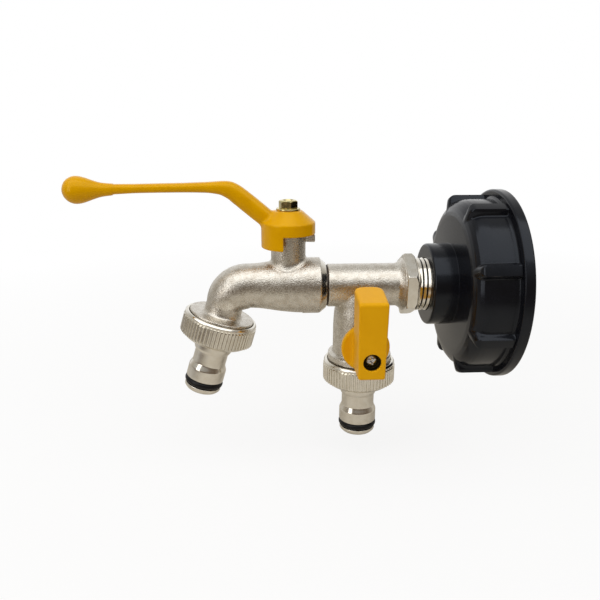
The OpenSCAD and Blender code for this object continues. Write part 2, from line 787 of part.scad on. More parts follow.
// Stations of the lever's arm: [distance from the stem axis, share of the rise to the
// grip's height, pitch angle, half height, half width]
arm_end = lever_reach - knob_r - knob_neck;
arm_stations = [
    [6.4, -0.15, -38, 3.6, 4],
    [10.4, 0.08, -38, 3.9, 3.9],
    [15, 0.37, -38, 3.9, 3.8],
    [19, 0.64, -37, 3.9, 3.7],
    [22, 0.82, -30, 3.8, 3.6],
    [25, 0.94, -16, 3.3, 3.4],
    [28.6, 0.99, -5, 2.6, 3.3],
    [34, 1.01, 0, 2.1, 3.1],
    [arm_end - 26, 1.01, 0, 1.8, 2.9],
    [arm_end - 12, 0.99, 0, 1.8, 2.7],
    [arm_end - 2.4, 0.96, 0, 2.05, 2.5],
    [arm_end + 0.2, 0.95, 0, 2.3, 2.5]
];

function lever_path() =
    [for (s = arm_stations) [tap_x - s[0], arm_root_z + s[1] * (lever_z - arm_root_z), s[2], s[3], s[4]]];

// Lever: skirted hub with its stop window, bent arm and pear-shaped knob
module lever_handle() {
    cavity_r = hub_r - hub_wall;
    knob_x = tap_x - lever_reach;
    color(yellow) difference() {
        union() {
            translate([tap_x, 0, 0]) turned([
                [0, skirt_z], [hub_r, skirt_z], [hub_r, hub_crease_z - 0.3],
                [hub_r - 0.3, hub_crease_z + 0.1], [hub_top_r, hub_top_z], [0, hub_top_z]
            ]);
            tube(lever_path(), 24);
            translate([0, 0, lever_z - knob_drop]) along_x(knob_x) turned(concat(
                arc(0, knob_r, knob_r, -90, -8, 8),
                [[knob_r - 0.35, knob_r + 2.3], [knob_r - 1.4, knob_r + 6.2], [2.9, knob_r + 10.2],
                 [2.25, knob_r + knob_neck], [0, knob_r + knob_neck]]
            ));
        }
        translate([tap_x, 0, skirt_z - 1]) cylinder(r = cavity_r, h = hub_roof_z - skirt_z + 1);
        translate([tap_x, 0, hub_roof_z - 1]) linear_extrude(height = 12)
            flatted(stem_top_r + seat_gap, stem_flat + 2 * seat_gap);
        translate([tap_x, 0, skirt_z - 1]) linear_extrude(height = window_z - skirt_z + 1) polygon(concat(
            [[0, 0]], arc(0, 0, hub_r + 3, window_from, window_from + window_angle, 12)
        ));
    }
}

module lever_washer() {
    color(zinc) translate([tap_x, 0, hub_top_z + seat_gap])
        ring(lever_flange_r, stem_thread_r + 0.1, 0, lever_washer_t);
}

module lever_nut() {
    z0 = hub_top_z + lever_washer_t + 2 * seat_gap;
    corner_r = lever_nut_af / 2 / cos(30);
    blank_r = corner_r + hex_blank;
    color(zinc) translate([tap_x, 0, z0]) difference() {
        intersection() {
            translate([0, 0, -1]) rotate([0, 0, lever_nut_turn])
                cylinder(r = corner_r, h = lever_nut_h + 2, $fn = 6);
            turned([
                [0, 0], [blank_r, 0], [blank_r, lever_nut_h - lever_nut_edge],
                [corner_r - lever_nut_edge, lever_nut_h], [0, lever_nut_h]
            ]);
        }
        translate([0, 0, -1]) cylinder(r = stem_thread_r + seat_gap, h = lever_nut_h + 2);
    }
}

adapter_cap();
cap_gasket();
tee_body();
branch_retainer();
branch_seat_upper();
branch_seat_lower();
branch_gland_nut();
branch_packing();
branch_ball();
branch_stem();
branch_handle();
branch_handle_screw();
branch_union_nut();
branch_hose_nipple();
branch_nipple_o_ring();
branch_flat_washer();
tap_body();
tap_seat_retainer();
tap_seat_front();
tap_seat_rear();
tap_gland_nut();
tap_packing();
tap_ball();
tap_stem();
lever_handle();
lever_washer();
lever_nut();
tap_union_nut();
tap_hose_nipple();
tap_nipple_o_ring();
tap_flat_washer();
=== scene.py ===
"""Looks of a tank tap adapter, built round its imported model.

The castings, the lever and the flag handle are sculpted from signed distances, so that their
parts run into each other as poured metal and moulded plastic do. The cap, the nuts and the
nipples are turned from filleted outlines. Geometry Nodes lay the knurl teeth round the union
nuts, and wind the inlet's thread. Lengths are millimetres until a mesh is made.
"""

import json
import logging
import math
from collections.abc import Callable, Sequence
from dataclasses import dataclass
from enum import Enum

import bpy
import numpy as np
from mathutils import Matrix, Vector


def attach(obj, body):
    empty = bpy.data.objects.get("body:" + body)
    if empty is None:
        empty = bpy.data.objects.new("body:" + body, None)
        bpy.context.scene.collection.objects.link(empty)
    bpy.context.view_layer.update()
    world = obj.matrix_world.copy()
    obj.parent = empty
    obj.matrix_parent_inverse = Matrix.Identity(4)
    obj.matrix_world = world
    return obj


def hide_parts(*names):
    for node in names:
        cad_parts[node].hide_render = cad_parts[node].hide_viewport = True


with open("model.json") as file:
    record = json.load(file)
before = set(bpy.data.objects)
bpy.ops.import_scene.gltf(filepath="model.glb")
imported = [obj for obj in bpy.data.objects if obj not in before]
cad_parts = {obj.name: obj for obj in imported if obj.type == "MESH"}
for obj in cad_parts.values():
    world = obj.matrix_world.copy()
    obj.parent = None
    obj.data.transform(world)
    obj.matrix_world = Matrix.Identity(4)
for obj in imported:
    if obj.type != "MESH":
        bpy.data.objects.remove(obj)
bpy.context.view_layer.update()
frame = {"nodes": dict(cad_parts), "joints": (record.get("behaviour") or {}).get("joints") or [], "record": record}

LOG = logging.getLogger("tank_tap_adapter")
MM = 0.001
FAR = 1.0e6

Array = np.ndarray
Point = tuple[float, float, float]
Distance = Callable[[Array, Array, Array], Array]


class Body(Enum):
    """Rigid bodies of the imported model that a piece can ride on."""

    ADAPTER = "adapter"
    LEVER = "lever"
    FLAG = "flag"


class Slot(Enum):
    """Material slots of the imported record."""

    CAP = "cap_plastic"
    CAST = "nickel_cast"
    TURNED = "nickel_turned"
    LEVER = "lever_paint"
    FLAG = "flag_plastic"
    RUBBER = "rubber_black"
    SEAT = "seat_white"
    BALL = "ball_chrome"
    SCREW = "screw_steel"
    ZINC = "zinc_yellow"


class Axis(Enum):
    """Direction that a turned outline's height runs along, as the turn from +Z."""

    UP = 0
    TO_MOUTH = 1
    TO_FRONT = 2


def joint(name: str) -> dict:
    """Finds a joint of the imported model.

    Args:
        name: The joint's name.

    Returns:
        The joint's row.
    """
    return next(row for row in frame["joints"] if row["name"] == name)


def mount(name: str) -> dict:
    """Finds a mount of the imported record.

    Args:
        name: The mount's name.

    Returns:
        The mount's row.
    """
    return next(row for row in frame["record"]["mounts"] if row["name"] == name)


def millimetres(place: Sequence[float]) -> Point:
    """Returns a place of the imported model, given in metres, in millimetres."""
    return tuple(v / MM for v in place)


def smooth_min(a: Array, b: Array, blend: float) -> Array:
    """Joins two distances with a round fillet.

    Args:
        a: First distance.
        b: Second distance.
        blend: Width of the fillet, in millimetres.

    Returns:
        The joined distance.
    """
    share = np.maximum(blend - np.abs(a - b), 0.0) / blend
    return np.minimum(a, b) - share * share * blend * 0.25


def smooth_max(a: Array, b: Array, blend: float) -> Array:
    """Cuts one distance by another with a round edge.

    Args:
        a: First distance.
        b: Second distance.
        blend: Width of the rounding, in millimetres.

    Returns:
        The distance of what lies in both.
    """
    return -smooth_min(-a, -b, blend)


def rod(across: Array, along: Array, radius: float, start: float, end: float, edge: float) -> Array:
    """Distance to a cylinder with rounded rims.

    Args:
        across: Distance from the cylinder's axis.
        along: Place along the axis.
        radius: The cylinder's radius.
        start: Where it starts along the axis.
        end: Where it ends along the axis.
        edge: Radius of its rims.

    Returns:
        The signed distance.
    """
    side = across - (radius - edge)
    cap = np.abs(along - (start + end) / 2) - (abs(end - start) / 2 - edge)
    outside = np.hypot(np.maximum(side, 0.0), np.maximum(cap, 0.0))
    return outside + np.minimum(np.maximum(side, cap), 0.0) - edge


@dataclass(frozen=True)
class Curve:
    """Smooth curve through given stations, without overshoot between them."""

    places: tuple[float, ...]
    values: tuple[float, ...]

    def slopes(self) -> Array:
        """Returns the slope at each station by the weighted harmonic mean."""
        x, y = np.array(self.places), np.array(self.values)
        step, rise = np.diff(x), np.diff(y) / np.diff(x)
        slope = np.zeros_like(y)
        slope[0], slope[-1] = rise[0], rise[-1]
        for i in range(1, len(y) - 1):
            if rise[i - 1] * rise[i] > 0:
                w0, w1 = 2 * step[i] + step[i - 1], step[i] + 2 * step[i - 1]
                slope[i] = (w0 + w1) / (w0 / rise[i - 1] + w1 / rise[i])
        return slope

    def __call__(self, place: Array) -> Array:
        """Reads the curve.

        Args:
            place: Where to read it.

        Returns:
            Its value there, held past the ends.
        """
        x, y, slope = np.array(self.places), np.array(self.values), self.slopes()
        inside = np.clip(place, x[0], x[-1])
        i = np.clip(np.searchsorted(x, inside, side="right") - 1, 0, len(x) - 2)
        width = x[i + 1] - x[i]
        t = (inside - x[i]) / width
        left = (1 + 2 * t) * (1 - t) ** 2 * y[i] + t * (1 - t) ** 2 * width * slope[i]
        right = t * t * (3 - 2 * t) * y[i + 1] + t * t * (t - 1) * width * slope[i + 1]
        return left + right


@dataclass(frozen=True)
class Sculpt:
    """Closed mesh of the surface where a signed distance is zero."""

    distance: Distance
    low: Point
    high: Point
    step: float

    def sample(self) -> tuple[Array, list[Array]]:
        """Returns the distances on a regular grid, and the grid's three axes."""
        axes = [np.arange(a, b + self.step, self.step) for a, b in zip(self.low, self.high)]
        x, y, z = np.meshgrid(*axes, indexing="ij", sparse=True)
        return self.distance(x, y, z) + np.zeros((len(axes[0]), len(axes[1]), len(axes[2]))), axes

    def mesh(self) -> tuple[Array, Array]:
        """Returns the surface's points and its four-sided faces, turned outwards."""
        values, axes = self.sample()
        counts = [n - 1 for n in values.shape]
        quads, owners, points = [], [], []
        for axis in range(3):
            first = values[tuple(slice(None, -1) if k == axis else slice(None) for k in range(3))]
            second = values[tuple(slice(1, None) if k == axis else slice(None) for k in range(3))]
            index = list(np.nonzero((first < 0) != (second < 0)))
            a, b = first[tuple(index)], second[tuple(index)]
            point = np.stack(index, 1).astype(float)
            point[:, axis] += a / (a - b)
            u, v = (axis + 1) % 3, (axis + 2) % 3
            ring = []
            for du, dv in ((0, 0), (1, 0), (1, 1), (0, 1)):
                cell = [index[0], index[1], index[2]]
                cell[u] = cell[u] - du
                cell[v] = cell[v] - dv
                ring.append((cell[0] * counts[1] + cell[1]) * counts[2] + cell[2])
                owners.append(ring[-1])
                points.append(point)
            quad = np.stack(ring, 1)
            quads.append(np.where((a < 0)[:, None], quad, quad[:, ::-1]))
        cells, place = np.unique(np.concatenate(owners), return_inverse=True)
        spots = np.concatenate(points)
        share = np.bincount(place, minlength=len(cells))
        middle = [np.bincount(place, spots[:, k], len(cells)) / share for k in range(3)]
        vertices = np.stack([axes[k][0] + self.step * middle[k] for k in range(3)], 1)
        return self.settle(vertices), np.searchsorted(cells, np.concatenate(quads))

    def settle(self, points: Array) -> Array:
        """Moves points onto the surface.

        Args:
            points: Points near it, one a row.

        Returns:
            The moved points.
        """
        probe = self.step * 0.15
        for _ in range(3):
            x, y, z = points.T
            here = self.distance(x, y, z)
            slope = np.stack([
                self.distance(x + probe, y, z) - self.distance(x - probe, y, z),
                self.distance(x, y + probe, z) - self.distance(x, y - probe, z),
                self.distance(x, y, z + probe) - self.distance(x, y, z - probe),
            ], 1) / (2 * probe)
            size = np.maximum((slope * slope).sum(1), 0.2)
            move = -slope * (here / size)[:, None]
            length = np.linalg.norm(move, axis=1, keepdims=True)
            points = points + move * np.minimum(1.0, self.step * 0.4 / np.maximum(length, 1e-9))
        return points


def filleted(corners: Sequence[tuple[float, float, float]], pitch: float) -> Array:
    """Rounds the corners of a closed outline and divides its straight runs.

    Args:
        corners: Corners as radius, height and fillet radius.
        pitch: Longest distance between two points of a straight run.

    Returns:
        Points of radius and height, in the corners' order.
    """
    spots = np.array([c[:2] for c in corners], float)
    outline: list[Array] = []
    for i, (_, _, fillet) in enumerate(corners):
        here, before, after = spots[i], spots[i - 1], spots[(i + 1) % len(spots)]
        back, on = before - here, after - here
        back_length, on_length = np.linalg.norm(back), np.linalg.norm(on)
        back, on = back / back_length, on / on_length
        half = math.acos(float(np.clip(back @ on, -1, 1))) / 2
        reach = min(fillet / math.tan(max(half, 0.05)), back_length * 0.48, on_length * 0.48)
        if fillet <= 0 or reach < 1e-4 or half > 1.55:
            outline.append(here[None])
            continue
        start, end = here + back * reach, here + on * reach
        steps = 2 + int(math.degrees(math.pi - 2 * half) / 18)
        t = np.linspace(0, 1, steps + 1)[:, None]
        outline.append((1 - t) ** 2 * start + 2 * t * (1 - t) * here + t * t * end)
    points = np.concatenate(outline)
    divided = []
    for here, after in zip(points, np.roll(points, -1, axis=0)):
        parts = max(1, math.ceil(np.linalg.norm(after - here) / pitch))
        divided.append(here + (after - here) * (np.arange(parts) / parts)[:, None])
    return np.concatenate(divided)


def turned(
    outline: Array, sides: int, shape: Callable[[Array, Array, Array], Array] | None = None
) -> tuple[Array, Array]:
    """Turns a closed outline round +Z.

    Args:
        outline: Points of radius and height, anticlockwise with the radius to the right.
        sides: Number of sides round the axis.
        shape: Changes the radius, given radius, height and angle, or nothing.

    Returns:
        The points and the four-sided faces of the closed ring.
    """
    angle = np.arange(sides)[:, None] * 2 * math.pi / sides
    radius, height = outline[:, 0][None] + 0 * angle, outline[:, 1][None] + 0 * angle
    if shape is not None:
        radius = shape(radius, height, angle + 0 * radius)
    points = np.stack([radius * np.cos(angle), radius * np.sin(angle), height], -1).reshape(-1, 3)
    count = len(outline)
    i = np.arange(sides)[:, None] * count
    j = np.arange(count)[None]
    after_i = (np.arange(sides)[:, None] + 1) % sides * count
    after_j = (j + 1) % count
    faces = np.stack([i + j, after_i + j, after_i + after_j, i + after_j], -1).reshape(-1, 4)
    return points, faces


def along(axis: Axis, origin: Point = (0.0, 0.0, 0.0)) -> Matrix:
    """Places what is built along +Z.

    Args:
        axis: Where +Z goes.
        origin: Where the origin goes, in millimetres.

    Returns:
        The placing matrix.
    """
    turn = {
        Axis.UP: Matrix.Identity(4),
        Axis.TO_MOUTH: Matrix.Rotation(math.radians(90), 4, "Y"),
        Axis.TO_FRONT: Matrix.Rotation(math.radians(90), 4, "X"),
    }[axis]
    return Matrix.Translation(Vector(origin)) @ turn


def new_piece(
    name: str, points: Array, faces: Array, place: Matrix | None = None, crease: float = 38.0
) -> bpy.types.Object:
    """Makes a mesh object with its place in its mesh.

    Args:
        name: The piece's name.
        points: Points in millimetres.
        faces: Four-sided faces.
        place: Placing matrix in millimetres, or nothing.
        crease: Angle in degrees above which an edge is sharp.

    Returns:
        The object, at the origin.
    """
    if place is not None:
        matrix = np.array(place)
        points = points @ matrix[:3, :3].T + matrix[:3, 3]
    mesh = bpy.data.meshes.new(name)
    mesh.vertices.add(len(points))
    mesh.vertices.foreach_set("co", (points * MM).astype(np.float32).ravel())
    mesh.loops.add(faces.size)
    mesh.loops.foreach_set("vertex_index", faces.astype(np.int32).ravel())
    mesh.polygons.add(len(faces))
    mesh.polygons.foreach_set("loop_start", np.arange(0, faces.size, 4, dtype=np.int32))
    mesh.update(calc_edges=True)
    mesh.validate()
    mesh.shade_smooth()
    mesh.set_sharp_from_angle(angle=math.radians(crease))
    piece = bpy.data.objects.new(name, mesh)
    bpy.context.scene.collection.objects.link(piece)
    LOG.info("%s: %d faces", name, len(mesh.polygons))
    return piece


class Shader:
    """Node tree of one material, with short calls for the nodes that the finishes share."""

    def __init__(self, name: str) -> None:
        """Starts a material.

        Args:
            name: The material's name.
        """
        self.material = bpy.data.materials.new(name)
        self.material.use_nodes = True
        self.tree = self.material.node_tree
        self.tree.nodes.clear()
        self.output = self.node("ShaderNodeOutputMaterial")
        self.surface = self.node("ShaderNodeBsdfPrincipled")
        self.link(self.surface, "BSDF", self.output, "Surface")
        self.place = self.node("ShaderNodeTexCoord")

    def node(self, kind: str, **settings: object) -> bpy.types.Node:
        """Adds a node.

        Args:
            kind: The node's type.
            settings: Values of its own properties.

        Returns:
            The node.
        """
        made = self.tree.nodes.new(kind)
        for key, value in settings.items():
            setattr(made, key, value)
        return made

    def link(
        self, source: bpy.types.Node, output: str | int, target: bpy.types.Node, socket: str | int
    ) -> None:
        """Joins an output of one node to an input of another."""
        self.tree.links.new(source.outputs[output], target.inputs[socket])

    def noise(self, grain: float, detail: float) -> bpy.types.Node:
        """Adds noise on the piece's own coordinates.

        Args:
            grain: Size of a grain, in millimetres.
            detail: Number of finer layers.

        Returns:
            The noise node.
        """
        noise = self.node("ShaderNodeTexNoise")
        noise.inputs["Scale"].default_value = 1.0 / (grain * MM)
        noise.inputs["Detail"].default_value = detail
        noise.inputs["Roughness"].default_value = 0.55
        self.link(self.place, "Object", noise, "Vector")
        return noise

    def ramp(self, source: bpy.types.Node, stops: Sequence[tuple[float, Sequence[float]]]) -> bpy.types.Node:
        """Maps a noise to colours.

        Args:
            source: The noise node.
            stops: Place and colour of each stop.

        Returns:
            The ramp node.
        """
        ramp = self.node("ShaderNodeValToRGB")
        while len(ramp.color_ramp.elements) < len(stops):
            ramp.color_ramp.elements.new(0.5)
        for element, (place, colour) in zip(ramp.color_ramp.elements, stops):
            element.position = place
            element.color = (*colour, 1.0)
        self.link(source, "Fac", ramp, "Fac")
        return ramp

    def spread(self, source: bpy.types.Node, low: float, high: float) -> bpy.types.Node:
        """Maps a noise to a number between two values.

        Args:
            source: The noise node.
            low: Value at the noise's dark end.
            high: Value at its light end.

        Returns:
            The mapping node.
        """
        mapped = self.node("ShaderNodeMapRange")
        mapped.inputs["From Min"].default_value = 0.3
        mapped.inputs["From Max"].default_value = 0.7
        mapped.inputs["To Min"].default_value = low
        mapped.inputs["To Max"].default_value = high
        self.link(source, "Fac", mapped, "Value")
        return mapped

    def relief(self, layers: Sequence[tuple[bpy.types.Node, float, float]]) -> None:
        """Adds bumps to the surface, one layer on the other.

        Args:
            layers: Noise, height in millimetres and strength of each layer.
        """
        before = None
        for source, height, strength in layers:
            bump = self.node("ShaderNodeBump")
            bump.inputs["Strength"].default_value = strength
            bump.inputs["Distance"].default_value = height * MM
            self.link(source, "Fac", bump, "Height")
            if before is not None:
                self.link(before, "Normal", bump, "Normal")
            before = bump
        self.link(before, "Normal", self.surface, "Normal")

    def set(self, **values: float | Sequence[float]) -> None:
        """Sets the surface's own sockets, named with underscores for spaces."""
        for key, value in values.items():
            self.surface.inputs[key.replace("_", " ")].default_value = value


@dataclass(frozen=True)
class CastNickel:
    """Satin nickel plate on sand-cast brass: warm, grainy, with a faint brown cast."""

    light: Point = (0.705, 0.67, 0.605)
    dark: Point = (0.58, 0.535, 0.465)
    roughness: tuple[float, float] = (0.21, 0.36)
    grain: float = 0.52
    swell: float = 2.4

    def material(self) -> bpy.types.Material:
        """Returns the finish as a material."""
        shader = Shader("cast_nickel")
        grain = shader.noise(self.grain, 3.0)
        swell = shader.noise(self.swell, 2.0)
        colour = shader.ramp(swell, [(0.34, self.dark), (0.62, self.light)])
        shader.link(colour, "Color", shader.surface, "Base Color")
        shader.link(shader.spread(grain, *self.roughness), "Result", shader.surface, "Roughness")
        shader.set(Metallic=1.0)
        shader.relief([(swell, 0.12, 0.3), (grain, 0.15, 1.0)])
        return shader.material


@dataclass(frozen=True)
class TurnedNickel:
    """Nickel plate on turned brass: smoother and lighter, with faint tool marks."""

    light: Point = (0.82, 0.79, 0.72)
    dark: Point = (0.76, 0.72, 0.64)
    roughness: tuple[float, float] = (0.11, 0.18)

    def material(self) -> bpy.types.Material:
        """Returns the finish as a material."""
        shader = Shader("turned_nickel")
        stain = shader.noise(2.6, 2.0)
        scuff = shader.noise(0.45, 2.0)
        colour = shader.ramp(stain, [(0.36, self.dark), (0.58, self.light)])
        shader.link(colour, "Color", shader.surface, "Base Color")
        shader.link(shader.spread(scuff, *self.roughness), "Result", shader.surface, "Roughness")
        shader.set(Metallic=1.0)
        shader.relief([(scuff, 0.008, 0.15)])
        return shader.material


@dataclass(frozen=True)
class Coating:
    """Paint or moulded plastic over the whole piece, with a fine relief."""

    name: str
    light: Point
    dark: Point
    roughness: tuple[float, float]
    peel: float
    peel_height: float
    shine: float = 0.5
    shine_tint: Point = (1.0, 1.0, 1.0)

    def coated(self) -> tuple[Shader, bpy.types.Node]:
        """Returns the finish's shader and the node of its colour."""
        shader = Shader(self.name)
        tone = shader.noise(6.0, 2.0)
        peel = shader.noise(self.peel, 2.0)
        colour = shader.ramp(tone, [(0.35, self.dark), (0.62, self.light)])
        shader.link(colour, "Color", shader.surface, "Base Color")
        shader.link(shader.spread(peel, *self.roughness), "Result", shader.surface, "Roughness")
        shader.set(Specular_IOR_Level=self.shine, Specular_Tint=(*self.shine_tint, 1.0))
        shader.relief([(peel, self.peel_height, 0.4)])
        return shader, colour

    def material(self) -> bpy.types.Material:
        """Returns the finish as a material."""
        return self.coated()[0].material


@dataclass(frozen=True)
class FlagPlastic(Coating):
    """Moulded plastic of the flag handle, with painted shade down its screw recess."""

    pivot: Point = (0.0, 0.0, 0.0)
    recess_radius: float = 3.66
    recess_mouth: float = 32.5
    recess_floor: float = 29.0

    def material(self) -> bpy.types.Material:
        """Returns the finish as a material."""
        shader, colour = self.coated()
        # Painted shade: faces inside the screw recess, near the pivot axis and past its mouth, are mixed to near
        # black for the shade down the hole.
        across = shader.node("ShaderNodeMapping", vector_type="POINT")
        across.inputs["Location"].default_value = [-v * MM for v in (self.pivot[0], 0.0, self.pivot[2])]
        across.inputs["Scale"].default_value = (1.0, 0.0, 1.0)
        far = shader.node("ShaderNodeVectorMath", operation="LENGTH")
        inside = shader.node("ShaderNodeMath", operation="LESS_THAN")
        inside.inputs[1].default_value = self.recess_radius * MM
        split = shader.node("ShaderNodeSeparateXYZ")
        recess_shade_depth = shader.node("ShaderNodeMapRange")
        recess_shade_depth.inputs["From Min"].default_value = -self.recess_mouth * MM
        recess_shade_depth.inputs["From Max"].default_value = -(self.recess_mouth - 0.9) * MM
        both = shader.node("ShaderNodeMath", operation="MULTIPLY")
        dark = shader.node("ShaderNodeMix", data_type="RGBA")
        # Near-black colour of the painted shade in the recess.
        dark.inputs["B"].default_value = (0.012, 0.008, 0.004, 1.0)
        shader.link(shader.place, "Object", across, "Vector")
        shader.link(across, "Vector", far, 0)
        shader.link(far, "Value", inside, 0)
        shader.link(shader.place, "Object", split, 0)
        shader.link(split, "Y", recess_shade_depth, "Value")
        shader.link(inside, "Value", both, 0)
        shader.link(recess_shade_depth, "Result", both, 1)
        shader.link(both, "Value", dark, "Factor")
        shader.link(colour, "Color", dark, "A")
        shader.link(dark, "Result", shader.surface, "Base Color")
        return shader.material


@dataclass(frozen=True)
class PlainMetal:
    """Small bright metal part, such as a screw, a nut or a ball."""

    name: str
    light: Point
    dark: Point
    roughness: tuple[float, float]
    stain: float

    def material(self) -> bpy.types.Material:
        """Returns the finish as a material."""
        shader = Shader(self.name)
        stain = shader.noise(self.stain, 2.0)
        colour = shader.ramp(stain, [(0.36, self.dark), (0.62, self.light)])
        shader.link(colour, "Color", shader.surface, "Base Color")
        shader.link(shader.spread(stain, *self.roughness), "Result", shader.surface, "Roughness")
        shader.set(Metallic=1.0)
        return shader.material


FINISHES = {
    Slot.CAST: CastNickel(),
    Slot.TURNED: TurnedNickel(),
    Slot.CAP: Coating(
        "cap_black", (0.0066, 0.0070, 0.0100), (0.0052, 0.0056, 0.0078), (0.15, 0.21),
        3.0, 0.01, shine=0.31, shine_tint=(0.80, 0.88, 1.0),
    ),
    Slot.LEVER: Coating(
        "lever_yellow", (0.86, 0.435, 0.0), (0.82, 0.405, 0.0), (0.15, 0.21),
        2.2, 0.01, shine=0.46, shine_tint=(1.0, 0.78, 0.22),
    ),
    # The flag's finish holds painted shade down its screw recess, centred on the flag's pivot.
    Slot.FLAG: FlagPlastic(
        "flag_yellow", (0.91, 0.455, 0.004), (0.88, 0.43, 0.003), (0.36, 0.46),
        0.5, 0.012, shine=0.40, shine_tint=(1.0, 0.78, 0.22),
        pivot=millimetres(joint("flag_turn")["pos_m"]),
    ),
    Slot.RUBBER: Coating(
        "rubber_black", (0.005, 0.005, 0.006), (0.003, 0.003, 0.004), (0.30, 0.45),
        0.3, 0.01, shine=0.26,
    ),
    Slot.SEAT: Coating("seat_white", (0.86, 0.85, 0.82), (0.78, 0.77, 0.73), (0.35, 0.45), 0.6, 0.01),
    Slot.BALL: PlainMetal("ball_chrome", (0.82, 0.83, 0.85), (0.70, 0.71, 0.73), (0.06, 0.12), 3.0),
    Slot.SCREW: PlainMetal("screw_steel", (0.93, 0.94, 0.95), (0.66, 0.66, 0.67), (0.16, 0.26), 0.9),
    Slot.ZINC: PlainMetal("zinc_yellow", (0.86, 0.72, 0.34), (0.46, 0.42, 0.20), (0.09, 0.15), 1.6),
}


class Workshop:
    """Dresses pieces: finish, body, replaced nodes and material slot."""

    def __init__(self) -> None:
        """Makes each finish once."""
        self.materials = {slot: finish.material() for slot, finish in FINISHES.items()}

    def dress(self, piece: bpy.types.Object, body: Body, slot: Slot, *nodes: str) -> bpy.types.Object:
        """Gives a new piece its finish and its place in the model.

        Args:
            piece: The piece.
            body: The body it rides on.
            slot: The material slot of its finish.
            nodes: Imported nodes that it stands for.

        Returns:
            The piece.
        """
        piece.data.materials.clear()
        piece.data.materials.append(self.materials[slot])
        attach(piece, body.value)
        if nodes:
            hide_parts(*nodes)
        return piece

    def paint_nodes(self) -> None:
        """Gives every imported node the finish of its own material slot."""
        slots = {row["node"]: row["material_slot"] for row in frame["record"]["subparts"]}
        for name, node in frame["nodes"].items():
            node.data.materials.clear()
            node.data.materials.append(self.materials[Slot(slots[name])])


class GeometryTree:
    """Geometry node tree with named inputs, run once on an object and turned to a plain mesh."""

    def __init__(self, name: str) -> None:
        """Starts a tree.

        Args:
            name: The tree's name.
        """
        self.group = bpy.data.node_groups.new(name, "GeometryNodeTree")
        self.group.interface.new_socket("Geometry", in_out="INPUT", socket_type="NodeSocketGeometry")
        self.group.interface.new_socket("Geometry", in_out="OUTPUT", socket_type="NodeSocketGeometry")
        self.start = self.group.nodes.new("NodeGroupInput")
        self.end = self.group.nodes.new("NodeGroupOutput")
        self.values: dict[str, object] = {}

    def size(self, name: str, value: float | int) -> bpy.types.NodeSocket:
        """Adds a named input with its value.

        Args:
            name: The input's name.
            value: Its value, a length in metres or a count.

        Returns:
            The socket that gives it inside the tree.
        """
        kind = "NodeSocketInt" if isinstance(value, int) else "NodeSocketFloat"
        socket = self.group.interface.new_socket(name, in_out="INPUT", socket_type=kind)
        self.values[socket.identifier] = value
        return self.start.outputs[name]

    def add(self, kind: str, inputs: dict[str, object] | None = None, **settings: object) -> bpy.types.Node:
        """Adds a node.

        Args:
            kind: The node's type.
            inputs: Values or sockets for its inputs.
            settings: Values of its own properties.

        Returns:
            The node.
        """
        node = self.group.nodes.new(kind)
        for key, value in settings.items():
            setattr(node, key, value)
        for key, value in (inputs or {}).items():
            if isinstance(value, bpy.types.NodeSocket):
                self.group.links.new(value, node.inputs[key])
            else:
                node.inputs[key].default_value = value
        return node

    def vector(self, x: object, y: object, z: object) -> bpy.types.NodeSocket:
        """Joins three numbers or sockets to a vector and returns its socket."""
        return self.add("ShaderNodeCombineXYZ", {"X": x, "Y": y, "Z": z}).outputs[0]

    def finish(self, geometry: bpy.types.NodeSocket, material: bpy.types.Material) -> None:
        """Ends the tree in real geometry with its finish.

        Args:
            geometry: Socket of the finished geometry.
            material: The finish.
        """
        real = self.add("GeometryNodeRealizeInstances", {"Geometry": geometry})
        smooth = self.add("GeometryNodeSetShadeSmooth", {"Geometry": real.outputs[0]})
        dressed = self.add("GeometryNodeSetMaterial", {"Geometry": smooth.outputs[0], "Material": material})
        self.group.links.new(dressed.outputs[0], self.end.inputs[0])

    def apply(self, piece: bpy.types.Object, place: Matrix, crease: float = 38.0) -> bpy.types.Object:
        """Runs the tree on a piece and keeps the result as its plain mesh.

        Args:
            piece: The piece whose mesh goes in.
            place: Placing matrix in millimetres, laid on the result.
            crease: Angle in degrees above which an edge is sharp.

        Returns:
            The piece, with the new mesh and no modifier.
        """
        modifier = piece.modifiers.new(self.group.name, "NODES")
        modifier.node_group = self.group
        for identifier, value in self.values.items():
            modifier[identifier] = value
        graph = bpy.context.evaluated_depsgraph_get()
        mesh = bpy.data.meshes.new_from_object(piece.evaluated_get(graph), depsgraph=graph)
        mesh.name = piece.name
        piece.modifiers.remove(modifier)
        piece.data = mesh
        metres = place.copy()
        metres.translation = place.translation * MM
        mesh.transform(metres)
        mesh.set_sharp_from_angle(angle=math.radians(crease))
        LOG.info("%s: %d faces", piece.name, len(mesh.polygons))
        return piece


